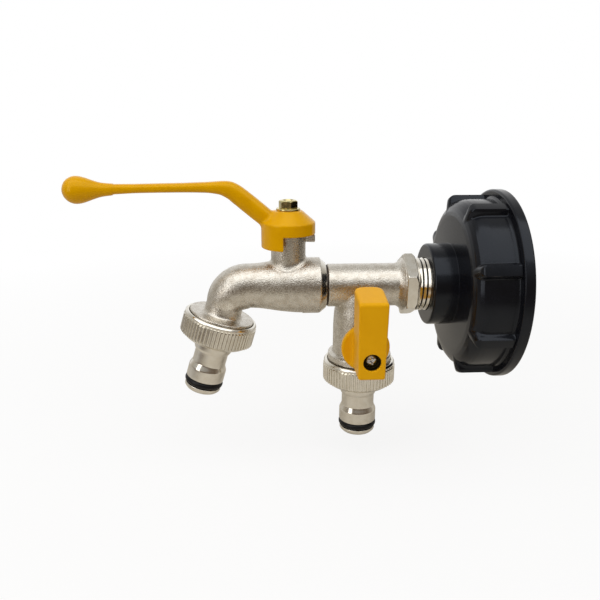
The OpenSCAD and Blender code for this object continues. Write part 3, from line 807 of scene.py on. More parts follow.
@dataclass(frozen=True)
class TankCap:
    """Moulded tank cap: ribbed wall, rim, boss and coarse inner thread."""

    boss_face: float = -24.0
    boss_radius: float = 17.6
    face_x: float = -13.85
    shoulder_x: float = -12.75
    wall_radius: float = 36.4
    rim_x: float = 3.8
    rim_radius: float = 40.58
    mouth_x: float = 8.2
    thread_root: float = 30.6
    thread_crest: float = 27.9
    thread_pitch: float = 6.0
    floor_x: float = -9.6
    bore_radius: float = 11.5
    rib_count: int = 8
    rib_width: float = 5.5
    rib_height: float = 2.6
    rib_flank: float = 1.2
    rib_nose: float = 3.8
    sides: int = 704

    def outline(self) -> Array:
        """Returns the closed outline as radius and place along the cap's axis."""
        corners = [
            (self.bore_radius, self.boss_face, 0.5), (self.bore_radius, self.floor_x, 0.3),
            (self.thread_root, self.floor_x, 0.8), (self.thread_root, self.mouth_x, 0.6),
            (self.rim_radius, self.mouth_x, 0.9), (self.rim_radius, self.rim_x, 1.0),
            (self.wall_radius, self.rim_x, 1.4), (self.wall_radius, self.shoulder_x, 7.6),
            (self.boss_radius, self.face_x, 0.12),
            (self.boss_radius, self.boss_face, 1.3),
        ]
        return filleted(corners, 0.55)

    def rib(self, place: Array, angle: Array) -> Array:
        """Height of the ribs over the wall.

        Args:
            place: Place along the cap's axis.
            angle: Angle round it.

        Returns:
            The height, in millimetres.
        """
        pitch = 2 * math.pi / self.rib_count
        across = (np.mod(angle, pitch) - pitch / 2) * self.wall_radius
        half = self.rib_width / 2
        nose = self.face_x + 1.25 + half
        reach = np.maximum(nose - place, 0.0)
        inside = half - np.hypot(across, reach)
        share = np.clip(inside / self.rib_flank + 0.35, 0.0, 1.0)
        rise = np.clip((place - self.face_x - 1.0) / self.rib_nose, 0.0, 1.0)
        return self.rib_height * share * share * (3 - 2 * share) * np.sqrt(rise * (2 - rise))

    def thread(self, place: Array, angle: Array) -> Array:
        """Height of the coarse thread over its root.

        Args:
            place: Place along the cap's axis.
            angle: Angle round it.

        Returns:
            The height, in millimetres.
        """
        depth = self.thread_root - self.thread_crest
        turn = np.mod(place - angle / (2 * math.pi) * self.thread_pitch, self.thread_pitch)
        off = np.abs(turn - self.thread_pitch / 2)
        form = np.clip((1.7 - off) / 0.8, 0.0, 1.0)
        run = np.clip((place - self.floor_x - 2.2) / 1.5, 0.0, 1.0)
        run = run * np.clip((self.mouth_x - 0.8 - place) / 1.2, 0.0, 1.0)
        return depth * form * run

    def shape(self, radius: Array, place: Array, angle: Array) -> Array:
        """Adds the ribs and the thread to the turned outline's radius."""
        on_wall = (radius > self.wall_radius - 4.6) & (place < self.rim_x - 0.1)
        share = self.rib(place, angle) / self.rib_height
        top = np.maximum(radius, self.wall_radius + self.rib_height)
        wall = np.where(on_wall, radius + (top - radius) * share, radius)
        in_bore = (np.abs(radius - self.thread_root) < 0.05) & (place < self.mouth_x)
        return np.where(in_bore, wall - self.thread(place, angle), wall)

    def build(self, shop: Workshop) -> None:
        """Makes the cap."""
        points, faces = turned(self.outline(), self.sides, self.shape)
        cap = new_piece("cap_moulding", points, faces, along(Axis.TO_MOUTH), crease=50.0)
        shop.dress(cap, Body.ADAPTER, Slot.CAP, "adapter_cap")


@dataclass(frozen=True)
class UnionOutlet:
    """Union nut and hose nipple of one outlet, built downstream along +Z."""

    name: str
    origin: Point
    lean: float
    land_radius: float
    nut_radius: float = 16.05
    nut_top: float = 3.05
    nut_end: float = 14.2
    knurl_start: float = 5.3
    knurl_end: float = 12.4
    teeth: int = 60
    mouth_radius: float = 14.3
    thread_radius: float = 13.22
    lip_radius: float = 8.5

    def place(self) -> Matrix:
        """Returns the matrix that lays the outlet's axis on the model."""
        turn = Matrix.Rotation(math.radians(180 + self.lean), 4, "Y")
        return Matrix.Translation(Vector(self.origin)) @ turn

    def nut_outline(self) -> Array:
        """Returns the union nut's outline without its knurl teeth."""
        r = self.nut_radius
        corners = [
            (self.lip_radius, self.nut_end, 0.3), (self.lip_radius, self.nut_end - 0.88, 0.0),
            (self.thread_radius, self.nut_end - 0.88, 0.0), (self.thread_radius, 5.1, 0.0),
            (self.mouth_radius, 4.3, 0.2), (self.mouth_radius, self.nut_top, 0.25),
            (r - 0.9, self.nut_top, 0.5), (r - 0.25, self.nut_top + 0.9, 0.5),
            (r - 0.62, self.knurl_start - 0.3, 0.3), (r - 0.62, self.knurl_end + 0.1, 0.4),
            (r - 2.6, self.nut_end, 0.6),
        ]
        return filleted(corners[::-1], 1.2)[::-1]

    def nut(self, shop: Workshop) -> None:
        """Makes the union nut, with its knurl teeth laid round it by nodes."""
        points, faces = turned(self.nut_outline(), 180)
        piece = new_piece(f"{self.name}_union_nut_knurled", points, faces)
        tree = GeometryTree("knurl")
        teeth = tree.size("Teeth", self.teeth)
        radius = tree.size("Ring radius", (self.nut_radius - 0.53) * MM)
        length = tree.size("Tooth length", (self.knurl_end - self.knurl_start) * MM)
        round_r = tree.size("Tooth radius", 0.51 * MM)
        middle = tree.size("Ring height", (self.knurl_start + self.knurl_end) / 2 * MM)
        circle = tree.add("GeometryNodeMeshCircle", {"Vertices": teeth, "Radius": radius})
        bar = tree.add("GeometryNodeMeshCylinder", {
            "Vertices": 10, "Side Segments": 1, "Radius": round_r, "Depth": length,
        })
        row = tree.add("GeometryNodeInstanceOnPoints", {
            "Points": circle.outputs["Mesh"], "Instance": bar.outputs["Mesh"],
        })
        lift = tree.vector(0.0, 0.0, middle)
        ring = tree.add("GeometryNodeTransform", {"Geometry": row.outputs[0], "Translation": lift})
        whole = tree.add("GeometryNodeJoinGeometry")
        tree.group.links.new(tree.start.outputs[0], whole.inputs[0])
        tree.group.links.new(ring.outputs[0], whole.inputs[0])
        tree.finish(whole.outputs[0], shop.materials[Slot.TURNED])
        tree.apply(piece, self.place())
        shop.dress(piece, Body.ADAPTER, Slot.TURNED, f"{self.name}_union_nut")

    def nipple(self, shop: Workshop) -> None:
        """Makes the turned hose nipple."""
        land = self.land_radius
        corners = [
            (4.6, 12.64, 0.0), (12.6, 12.64, 0.2), (12.6, 13.3, 0.2), (8.25, 13.3, 0.0),
            (8.25, 18.2, 0.6), (7.85, 19.25, 0.3), (7.3, 19.3, 0.25), (7.3, 25.2, 1.2),
            (land, 27.5, 1.4), (land, 32.7, 0.25), (5.58, 32.7, 0.0), (5.58, 35.9, 0.0),
            (land - 0.3, 35.9, 0.2), (land - 0.3, 37.2, 0.8), (land - 1.3, 38.3, 0.5), (4.6, 38.3, 0.4),
        ]
        points, faces = turned(filleted(corners, 1.0), 128)
        piece = new_piece(f"{self.name}_nipple_turned", points, faces, self.place())
        shop.dress(piece, Body.ADAPTER, Slot.TURNED, f"{self.name}_hose_nipple")

    def build(self, shop: Workshop) -> None:
        """Makes the outlet's pieces."""
        self.nut(shop)
        self.nipple(shop)


@dataclass(frozen=True)
class Tee:
    """Cast tee: run, hexagon, branch valve housing, collar and both threads."""

    axis_x: float
    ball_z: float
    outlet_z: float = -31.0
    run_radius: float = 9.25
    run_start: float = -15.0
    spigot_radius: float = 8.3
    spigot_start: float = -21.1
    bore: float = 6.2
    hexagon: tuple[float, float] = (17.6, 22.4)
    across_flats: float = 24.0
    hexagon_turn: float = 3.0
    thread_crest: float = 11.45
    thread_pitch: float = 1.81
    thread_depth: float = 1.1
    thread_end: float = 41.5
    branch: Curve = Curve(
        (-45.0, -20.0, -13.0, -8.5, -4.0, -1.5, 0.5), (11.9, 11.9, 11.65, 11.0, 10.5, 9.9, 9.0)
    )
    collar_radius: float = 14.0
    outlet_radius: float = 13.2
    boss_front: float = 14.4
    boss_radius: float = 7.4
    stem_bore: float = 3.1
    bead_radius: float = 0.26
    gland_bore: float = 4.92
    step: float = 0.4

    def hexagon_distance(self, x: Array, y: Array, z: Array) -> Array:
        """Signed distance to the hexagon with its turned corners, in the model's millimetres."""
        x = x - self.axis_x
        start, end = self.hexagon
        turn = math.radians(self.hexagon_turn)
        half = self.across_flats / 2
        flats = np.full_like(y + z, -FAR)
        for k in range(3):
            angle = turn + math.radians(60 * k)
            flats = np.maximum(flats, np.abs(z * math.sin(angle) + y * math.cos(angle)) - half)
        across = np.hypot(y, z)
        corner = half / math.cos(math.radians(30))
        front = (across - (corner - 1.15) + (x - end)) * math.sqrt(0.5)
        back = (across - (corner - 0.5) + (start - x)) * math.sqrt(0.5)
        body = smooth_max(flats, np.maximum(start - x, x - end), 0.4)
        body = smooth_max(smooth_max(body, front, 0.2), back, 0.2)
        return np.maximum(body, self.bore + 2.0 - across)

    def distance(self, x: Array, y: Array, z: Array) -> Array:
        """Signed distance to the whole casting, in the model's millimetres."""
        x = x - self.axis_x
        across, round_branch = np.hypot(y, z), np.hypot(x, y)
        cone_share = np.clip((x - 14.6) / (self.hexagon[0] - 14.6), 0.0, 1.0)
        cone_radius = self.run_radius + (self.across_flats / 2 - 0.5 - self.run_radius) * cone_share ** 1.5
        run = rod(across, x, self.run_radius, self.run_start, self.hexagon[0] + 1, 0.35)
        cone = np.maximum(np.maximum((across - cone_radius) * 0.8, 14.6 - x), x - self.hexagon[0] - 0.5)
        run = np.minimum(run, cone)
        housing = np.maximum(round_branch - self.branch(z), z - 0.5)
        housing = smooth_max(housing, self.outlet_z - 1.5 - z, 0.6)
        body = smooth_min(run, housing, 0.4)
        boss = rod(np.hypot(x, z - self.ball_z), -y, self.boss_radius, 0.0, self.boss_front, 0.4)
        body = smooth_min(body, boss, 1.2)
        collar = rod(round_branch, z, self.collar_radius, self.outlet_z - 2.9, self.outlet_z, 0.35)
        body = smooth_min(body, collar, 1.6)
        thread = rod(round_branch, z, self.outlet_radius, self.outlet_z - 11.0, self.outlet_z - 2.0, 0.6)
        body = np.minimum(body, thread)
        core = rod(across, x, self.thread_crest - self.thread_depth, self.hexagon[0], self.thread_end, 0.5)
        body = np.minimum(body, core)
        spigot = rod(across, x, self.spigot_radius, self.spigot_start, self.run_start + 1, 0.4)
        body = np.minimum(body, spigot)
        hollow = across - self.bore
        hollow = np.minimum(hollow, np.maximum(round_branch - 4.2, z))
        hollow = np.minimum(hollow, np.maximum(round_branch - 7.4, z - self.ball_z - 7.4))
        hollow = np.minimum(hollow, np.maximum(round_branch - 7.9, z - self.ball_z + 7.4))
        stem = np.hypot(x, z - self.ball_z)
        hollow = np.minimum(hollow, np.maximum(stem - self.stem_bore, y))
        hollow = np.minimum(hollow, np.maximum(stem - self.gland_bore, y + self.boss_front - 3.4))
        return np.maximum(body, -hollow)

    def casting(self, shop: Workshop) -> None:
        """Makes the casting."""
        low = (self.axis_x + self.spigot_start - 1, -self.boss_front - 1, self.outlet_z - 12.0)
        high = (self.axis_x + self.thread_end + 1, self.collar_radius + 1, self.across_flats / 2 + 3)
        points, faces = Sculpt(self.distance, low, high, self.step).mesh()
        piece = new_piece("tee_casting", points, faces, crease=60.0)
        shop.dress(piece, Body.ADAPTER, Slot.CAST, "tee_body")

    def nut_flats(self, shop: Workshop) -> None:
        """Makes the machined hexagon round the casting."""
        start, end = (self.axis_x + x for x in self.hexagon)
        reach = self.across_flats / 2 / math.cos(math.radians(30)) + 0.6
        low, high = (start - 0.8, -reach, -reach), (end + 0.8, reach, reach)
        points, faces = Sculpt(self.hexagon_distance, low, high, 0.2).mesh()
        piece = new_piece("tee_hexagon", points, faces, crease=60.0)
        shop.dress(piece, Body.ADAPTER, Slot.TURNED)

    def thread(self, shop: Workshop) -> None:
        """Winds the inlet's thread by nodes."""
        start = self.hexagon[1] + 1.2
        length = self.thread_end - 1.0 - start
        piece = new_piece("inlet_thread", np.zeros((4, 3)), np.zeros((0, 4), int))
        tree = GeometryTree("thread")
        turns = tree.size("Turns", length / self.thread_pitch)
        radius = tree.size("Root radius", (self.thread_crest - self.thread_depth) * MM)
        height = tree.size("Length", length * MM)
        ridge = tree.size("Ridge radius", self.thread_depth * 1.04 * MM)
        path = tree.add("GeometryNodeCurveSpiral", {
            "Resolution": 72, "Rotations": turns, "Height": height,
            "Start Radius": radius, "End Radius": radius,
        })
        upright = tree.add("GeometryNodeSetCurveNormal", {"Curve": path.outputs[0]}, mode="Z_UP")
        form = tree.add("GeometryNodeCurvePrimitiveCircle", {"Resolution": 6, "Radius": ridge})
        swept = tree.add("GeometryNodeCurveToMesh", {
            "Curve": upright.outputs[0], "Profile Curve": form.outputs[0], "Fill Caps": True,
        })
        tree.finish(swept.outputs[0], shop.materials[Slot.TURNED])
        tree.apply(piece, along(Axis.TO_MOUTH, (self.axis_x + start, 0.0, 0.0)))
        shop.dress(piece, Body.ADAPTER, Slot.TURNED)

    def bead(self, shop: Workshop) -> None:
        """Lays the fine casting bead by nodes where the branch housing meets the run."""
        turn = np.linspace(-1.36, 1.36, 61)
        paths = []
        for side in (-1.0, 1.0):
            depth = np.sin(turn) * self.run_radius
            height = -np.sqrt(np.maximum(self.run_radius ** 2 - depth ** 2, 0.0))
            wide = self.branch(height)
            paths.append(np.stack([side * np.sqrt(wide ** 2 - depth ** 2), depth, height], 1))
        mesh = bpy.data.meshes.new("branch_bead")
        count = len(turn)
        edges = [(i, i + 1) for i in range(2 * count - 1) if i != count - 1]
        mesh.from_pydata((np.concatenate(paths) * MM).tolist(), edges, [])
        piece = bpy.data.objects.new("branch_bead", mesh)
        bpy.context.scene.collection.objects.link(piece)
        tree = GeometryTree("bead")
        radius = tree.size("Bead radius", self.bead_radius * MM)
        path = tree.add("GeometryNodeMeshToCurve", {"Mesh": tree.start.outputs[0]})
        form = tree.add("GeometryNodeCurvePrimitiveCircle", {"Resolution": 10, "Radius": radius})
        swept = tree.add("GeometryNodeCurveToMesh", {
            "Curve": path.outputs[0], "Profile Curve": form.outputs[0], "Fill Caps": True,
        })
        tree.finish(swept.outputs[0], shop.materials[Slot.CAST])
        tree.apply(piece, along(Axis.UP, (self.axis_x, 0.0, 0.0)))
        shop.dress(piece, Body.ADAPTER, Slot.CAST)

    def build(self, shop: Workshop) -> None:
        """Makes the tee's pieces."""
        self.casting(shop)
        self.nut_flats(shop)
        self.bead(shop)
        self.thread(shop)


@dataclass(frozen=True)
class Tap:
    """Cast lever tap: ball housing, neck, stop lug, elbow, collar and thread."""

    axis_x: float
    outlet: Point
    lean: float
    run: Curve = Curve((-16.4, -13.0, -8.0, -2.0, 6.0, 14.0), (9.5, 9.7, 10.4, 11.3, 11.9, 11.9))
    bend: Curve = Curve((0.0, 0.3, 0.65, 1.0), (9.5, 9.75, 9.25, 7.95))
    bend_x: float = -16.4
    bend_z: float = -11.3
    bend_radius: float = 11.6
    end_x: float = 15.8
    chamfer_x: float = 13.1
    chamfer_radius: float = 9.7
    neck_radius: float = 7.3
    neck_top: float = 23.4
    collar_radius: float = 14.0
    collar_start: float = 2.2
    collar_end: float = 3.8
    thread_radius: float = 13.2
    thread_end: float = 11.0
    lug_angles: tuple[float, float] = (-12.4, 45.4)
    lug_heights: tuple[float, float] = (19.4, 22.7)
    lug_radius: float = 11.3
    gland_radius: float = 4.92
    gland_floor: float = 15.4
    bead_radius: float = 0.38
    bead_out: float = 1.0
    step: float = 0.4

    def elbow(self, x: Array, y: Array, z: Array) -> Array:
        """Signed distance to the run, the bend and the spout, one after the other."""
        sweep = math.radians(90 - self.lean)
        dx, dz = self.bend_x - x, z - self.bend_z
        angle = np.arctan2(dx, dz)
        share = np.clip(angle / sweep, 0.0, 1.0)
        bent = np.hypot(np.hypot(dx, dz) - self.bend_radius, y) - self.bend(share)
        straight = np.hypot(y, dz - self.bend_radius) - self.run(x)
        ax, az = -math.sin(math.radians(self.lean)), -math.cos(math.radians(self.lean))
        ex = self.bend_x - self.bend_radius * math.sin(sweep)
        ez = self.bend_z + self.bend_radius * math.cos(sweep)
        t = (x - ex) * ax + (z - ez) * az
        side = (x - ex) * -az + (z - ez) * ax
        spout = np.maximum(np.hypot(side, y) - self.bend.values[-1], t - 6.0)
        in_bend = (dx > 0) & (angle >= 0) & (angle <= sweep) & (dz > -self.bend_radius * 2)
        past = (t > 0) & (x < self.bend_x) & ~in_bend
        rest = np.where(dx > 0, np.minimum(bent, spout), straight)
        body = np.where(in_bend, bent, np.where(past, spout, rest))
        return smooth_max(body, x - self.chamfer_x - 0.4, 0.4)

    def distance(self, x: Array, y: Array, z: Array) -> Array:
        """Signed distance to the whole casting, in the model's millimetres."""
        lean = math.radians(self.lean)
        ax, az = -math.sin(lean), -math.cos(lean)
        ox, oz = x - self.outlet[0], z - self.outlet[2]
        t = ox * ax + oz * az
        off_axis = np.hypot(ox * -az + oz * ax, y)
        x = x - self.axis_x
        across, round_stem = np.hypot(y, z), np.hypot(x, y)
        body = self.elbow(x, y, z)
        slope = (across - self.chamfer_radius - (self.end_x - x) * 0.82) * 0.77
        end = np.maximum(np.maximum(across - 11.9, x - self.end_x), 6.0 - x)
        body = np.minimum(body, smooth_max(end, slope, 0.4))
        neck = np.maximum(round_stem - self.neck_radius, -z)
        neck = smooth_max(neck, z - self.neck_top, 0.8)
        body = smooth_min(body, neck, 1.7)
        bearing = np.degrees(np.arctan2(y, x))
        middle = sum(self.lug_angles) / 2
        half = (self.lug_angles[1] - self.lug_angles[0]) / 2
        wedge = (np.abs(bearing - middle) - half) * (math.pi / 180) * round_stem
        lug = smooth_max(round_stem - self.lug_radius, wedge, 0.5)
        level = np.abs(z - sum(self.lug_heights) / 2) - (self.lug_heights[1] - self.lug_heights[0]) / 2
        lug = smooth_max(np.maximum(lug, 5.0 - round_stem), level, 0.5)
        body = smooth_min(body, lug, 0.5)
        collar = rod(off_axis, t, self.collar_radius, self.collar_start, self.collar_end, 0.35)
        body = smooth_min(body, collar, 2.0)
        thread = rod(off_axis, t, self.thread_radius, self.collar_end - 0.5, self.thread_end, 0.6)
        body = np.minimum(body, thread)
        hollow = np.maximum(across - 8.32, 7.8 - x)
        hollow = np.minimum(hollow, rod(across, x, 7.8, -7.9, 8.1, 0.1))
        hollow = np.minimum(hollow, np.maximum(np.maximum(across - 5.2, x + 7.0), self.bend_x - x))
        dx, dz = self.bend_x - x, z - self.bend_z
        way = np.hypot(np.hypot(dx, dz) - self.bend_radius, y) - 5.2
        hollow = np.minimum(hollow, np.maximum(way, np.maximum(-dx, t - 0.5)))
        hollow = np.minimum(hollow, np.maximum(off_axis - 5.2, -0.5 - t))
        hollow = np.minimum(hollow, np.maximum(off_axis - 9.0, self.collar_end - t))
        hollow = np.minimum(hollow, np.maximum(round_stem - 3.16, -z))
        hollow = np.minimum(hollow, np.maximum(round_stem - self.gland_radius, self.gland_floor - z))
        return np.maximum(body, -hollow)

    def end_face(self, shop: Workshop) -> None:
        """Makes the machined chamfer at the tap's inlet end."""
        start = self.chamfer_x + 0.1
        corners = [
            (self.chamfer_radius - 1.2, start, 0.0), (11.84, start, 0.1),
            (self.chamfer_radius + 0.06, self.end_x + 0.03, 0.2),
            (self.chamfer_radius - 1.2, self.end_x + 0.03, 0.1),
        ]
        points, faces = turned(filleted(corners, 1.0), 128)
        place = along(Axis.TO_MOUTH, (self.axis_x, 0.0, 0.0))
        shop.dress(new_piece("tap_end_face", points, faces, place), Body.ADAPTER, Slot.TURNED)

    def bead(self, shop: Workshop) -> None:
        """Lays the fine casting bead by nodes round the foot of the neck."""
        turn = np.linspace(0, 2 * math.pi, 96, endpoint=False)
        wide = self.neck_radius + self.bead_out
        x, y = wide * np.cos(turn), wide * np.sin(turn)
        path = np.stack([x, y, np.sqrt(self.run(x) ** 2 - y ** 2)], 1)
        mesh = bpy.data.meshes.new("neck_bead")
        mesh.from_pydata((path * MM).tolist(), [(i, (i + 1) % len(path)) for i in range(len(path))], [])
        piece = bpy.data.objects.new("neck_bead", mesh)
        bpy.context.scene.collection.objects.link(piece)
        tree = GeometryTree("neck_bead")
        radius = tree.size("Bead radius", self.bead_radius * MM)
        line = tree.add("GeometryNodeMeshToCurve", {"Mesh": tree.start.outputs[0]})
        form = tree.add("GeometryNodeCurvePrimitiveCircle", {"Resolution": 10, "Radius": radius})
        swept = tree.add("GeometryNodeCurveToMesh", {
            "Curve": line.outputs[0], "Profile Curve": form.outputs[0],
        })
        tree.finish(swept.outputs[0], shop.materials[Slot.TURNED])
        tree.apply(piece, along(Axis.UP, (self.axis_x, 0.0, 0.0)))
        shop.dress(piece, Body.ADAPTER, Slot.TURNED)

    def build(self, shop: Workshop) -> None:
        """Makes the tap's casting, its bead and its machined end."""
        self.bead(shop)
        self.end_face(shop)
        reach = self.collar_radius + 1
        low = (self.outlet[0] - reach - 4, -reach, self.outlet[2] - reach - 1.5)
        high = (self.axis_x + self.end_x + 1, reach, self.neck_top + 1)
        points, faces = Sculpt(self.distance, low, high, self.step).mesh()
        piece = new_piece("tap_casting", points, faces, crease=60.0)
        shop.dress(piece, Body.ADAPTER, Slot.CAST, "tap_body")


@dataclass(frozen=True)
class GrooveDarkRing:
    """Dark brown ring laid in the groove between the tap and the tee."""

    start: float
    end: float
    inner_radius: float = 8.36
    outer_radius: float = 8.8
    finish: Coating = Coating(
        "groove_dark_ring", (0.045, 0.026, 0.014), (0.025, 0.014, 0.008), (0.4, 0.6), 0.4, 0.02
    )

    def build(self, shop: Workshop) -> None:
        """Makes the ring."""
        low, high = self.start + 0.02, self.end - 0.02
        corners = [
            (self.inner_radius, low, 0.05), (self.outer_radius, low, 0.2),
            (self.outer_radius, high, 0.2), (self.inner_radius, high, 0.05),
        ]
        points, faces = turned(filleted(corners, 1.0), 96)
        ring = new_piece("groove_dark_ring", points, faces, along(Axis.TO_MOUTH))
        shop.dress(ring, Body.ADAPTER, Slot.RUBBER)
        ring.data.materials.clear()
        ring.data.materials.append(self.finish.material())


@dataclass(frozen=True)
class Lever:
    """Die-cast lever: skirted hub with its stop window, bent arm and pear-shaped knob."""

    axis_x: float
    hub_radius: float = 11.35
    skirt_z: float = 17.2
    crease_z: float = 27.8
    top_z: float = 32.6
    top_radius: float = 5.8
    roof_z: float = 24.6
    window_z: float = 23.0
    window: tuple[float, float] = (-103.0, 46.0)
    wall: float = 1.45
    knob_radius: float = 5.62
    knob_x: float = -85.5
    knob_z: float = 41.4
    step: float = 0.36
    arm_z: Curve = Curve(
        (-80.0, -72.0, -60.0, -46.0, -34.0, -28.5, -25.3, -22.3, -19.0, -15.0, -10.4, -5.0),
        (41.45, 41.6, 41.9, 42.1, 42.2, 42.0, 41.3, 39.8, 37.5, 34.3, 30.6, 26.3),
    )
    arm_pitch: Curve = Curve((-34.0, -28.5, -25.3, -22.3, -19.0, -15.0), (0.0, 5.0, 16.0, 30.0, 37.0, 38.0))
    arm_half_height: Curve = Curve(
        (-80.0, -72.0, -60.0, -46.0, -34.0, -28.5, -25.3, -22.3, -15.0, -5.0),
        (2.3, 2.1, 1.85, 1.9, 2.15, 2.65, 3.3, 3.8, 3.95, 3.7),
    )
    arm_half_width: Curve = Curve((-80.0, -60.0, -34.0, -15.0, -5.0), (2.4, 2.7, 3.1, 3.8, 4.2))
    pear: Curve = Curve((0.0, 1.3, 3.2, 6.3, 10.2, 14.0), (5.62, 5.5, 5.05, 3.95, 2.75, 2.1))

    def distance(self, x: Array, y: Array, z: Array) -> Array:
        """Signed distance to the whole lever, in the model's millimetres."""
        x = x - self.axis_x
        off = (z - self.arm_z(x)) * np.cos(np.radians(self.arm_pitch(x)))
        tall, wide = self.arm_half_height(x), self.arm_half_width(x)
        ratio = (np.abs(off / tall) ** 2.5 + np.abs(y / wide) ** 2.5) ** 0.4
        arm = (ratio - 1.0) * np.minimum(tall, wide)
        arm = np.maximum(np.maximum(arm, x + 4.0), -82.0 - x)
        off_axis = np.hypot(z - self.knob_z, y)
        past = x - self.knob_x
        ball = np.hypot(past, off_axis) - self.knob_radius
        pear = np.maximum((off_axis - self.pear(past)) * 0.95, past - 14.0)
        knob = np.where(past < 0, ball, pear)
        arm = smooth_min(arm, knob, 1.2)
        round_stem = np.hypot(x, y)
        fall = (self.top_z - self.crease_z) / (self.hub_radius - self.top_radius)
        cone = (z - self.crease_z + (round_stem - self.hub_radius) * fall) / math.hypot(1.0, fall)
        hub = smooth_max(round_stem - self.hub_radius, cone, 0.35)
        hub = smooth_max(hub, z - self.top_z, 0.35)
        hub = smooth_max(hub, self.skirt_z - z, 0.5)
        body = smooth_min(hub, arm, 1.3)
        hollow = np.maximum(round_stem - (self.hub_radius - self.wall), z - self.roof_z)
        bearing = np.degrees(np.arctan2(y, x))
        middle, half = sum(self.window) / 2, (self.window[1] - self.window[0]) / 2
        turn = np.abs(np.mod(bearing - middle + 180.0, 360.0) - 180.0)
        gap = (turn - half) * (math.pi / 180) * np.maximum(round_stem, 1.0)
        gap = np.maximum(np.maximum(gap, z - self.window_z), 6.0 - round_stem)
        hollow = np.minimum(hollow, gap)
        hollow = np.minimum(hollow, np.maximum(np.maximum(round_stem - 2.92, np.abs(y) - 2.22), 20.0 - z))
        return smooth_max(body, -hollow, 0.3)

    def build(self, shop: Workshop) -> None:
        """Makes the lever."""
        low = (self.axis_x + self.knob_x - self.knob_radius - 1, -self.hub_radius - 1, self.skirt_z - 1)
        high = (self.axis_x + self.hub_radius + 1, self.hub_radius + 1, self.knob_z + self.knob_radius + 1)
        points, faces = Sculpt(self.distance, low, high, self.step).mesh()
        piece = new_piece("lever_casting", points, faces, crease=60.0)
        shop.dress(piece, Body.LEVER, Slot.LEVER, "lever_handle")


@dataclass(frozen=True)
class LeverNut:
    """Hexagon nut and washer that hold the lever on its stem."""

    axis_x: float
    washer_z: float = 32.62
    washer_thickness: float = 0.9
    washer_radius: float = 5.0
    across_flats: float = 7.0
    height: float = 3.3
    turn: float = -76.0
    bore: float = 2.02
    step: float = 0.11

    def distance(self, x: Array, y: Array, z: Array) -> Array:
        """Signed distance to the nut, with its origin on the washer."""
        flats = np.full_like(x + y, -FAR)
        for k in range(3):
            angle = math.radians(self.turn + 30 + 60 * k)
            side = np.abs(x * math.cos(angle) + y * math.sin(angle))
            flats = np.maximum(flats, side - self.across_flats / 2)
        radius = np.hypot(x, y)
        corner = self.across_flats / 2 / math.cos(math.radians(30))
        bevel = ((radius - corner + 0.75) * 0.6 + (z - self.height)) * 0.86
        body = smooth_max(smooth_max(flats, np.maximum(-z, z - self.height), 0.3), bevel, 0.2)
        mouth = (self.bore + 0.4 - radius - (self.height - z)) * 0.7
        return np.maximum(np.maximum(body, self.bore - radius), mouth)

    def build(self, shop: Workshop) -> None:
        """Makes the nut and the washer."""
        base = self.washer_z + self.washer_thickness + 0.02
        reach = self.across_flats / 2 + 1.0
        near, far = (-reach, -reach, -0.4), (reach, reach, self.height + 0.4)
        points, faces = Sculpt(self.distance, near, far, self.step).mesh()
        place = along(Axis.UP, (self.axis_x, 0.0, base))
        nut = new_piece("lever_nut_bevelled", points, faces, place, crease=60.0)
        shop.dress(nut, Body.LEVER, Slot.ZINC, "lever_nut")
        low, high = self.washer_z, self.washer_z + self.washer_thickness
        corners = [
            (2.1, low, 0.1), (self.washer_radius, low, 0.25),
            (self.washer_radius, high, 0.3), (2.1, high, 0.1),
        ]
        points, faces = turned(filleted(corners, 1.0), 96)
        washer = new_piece("lever_washer_edged", points, faces, along(Axis.UP, (self.axis_x, 0.0, 0.0)))
        shop.dress(washer, Body.LEVER, Slot.ZINC, "lever_washer")


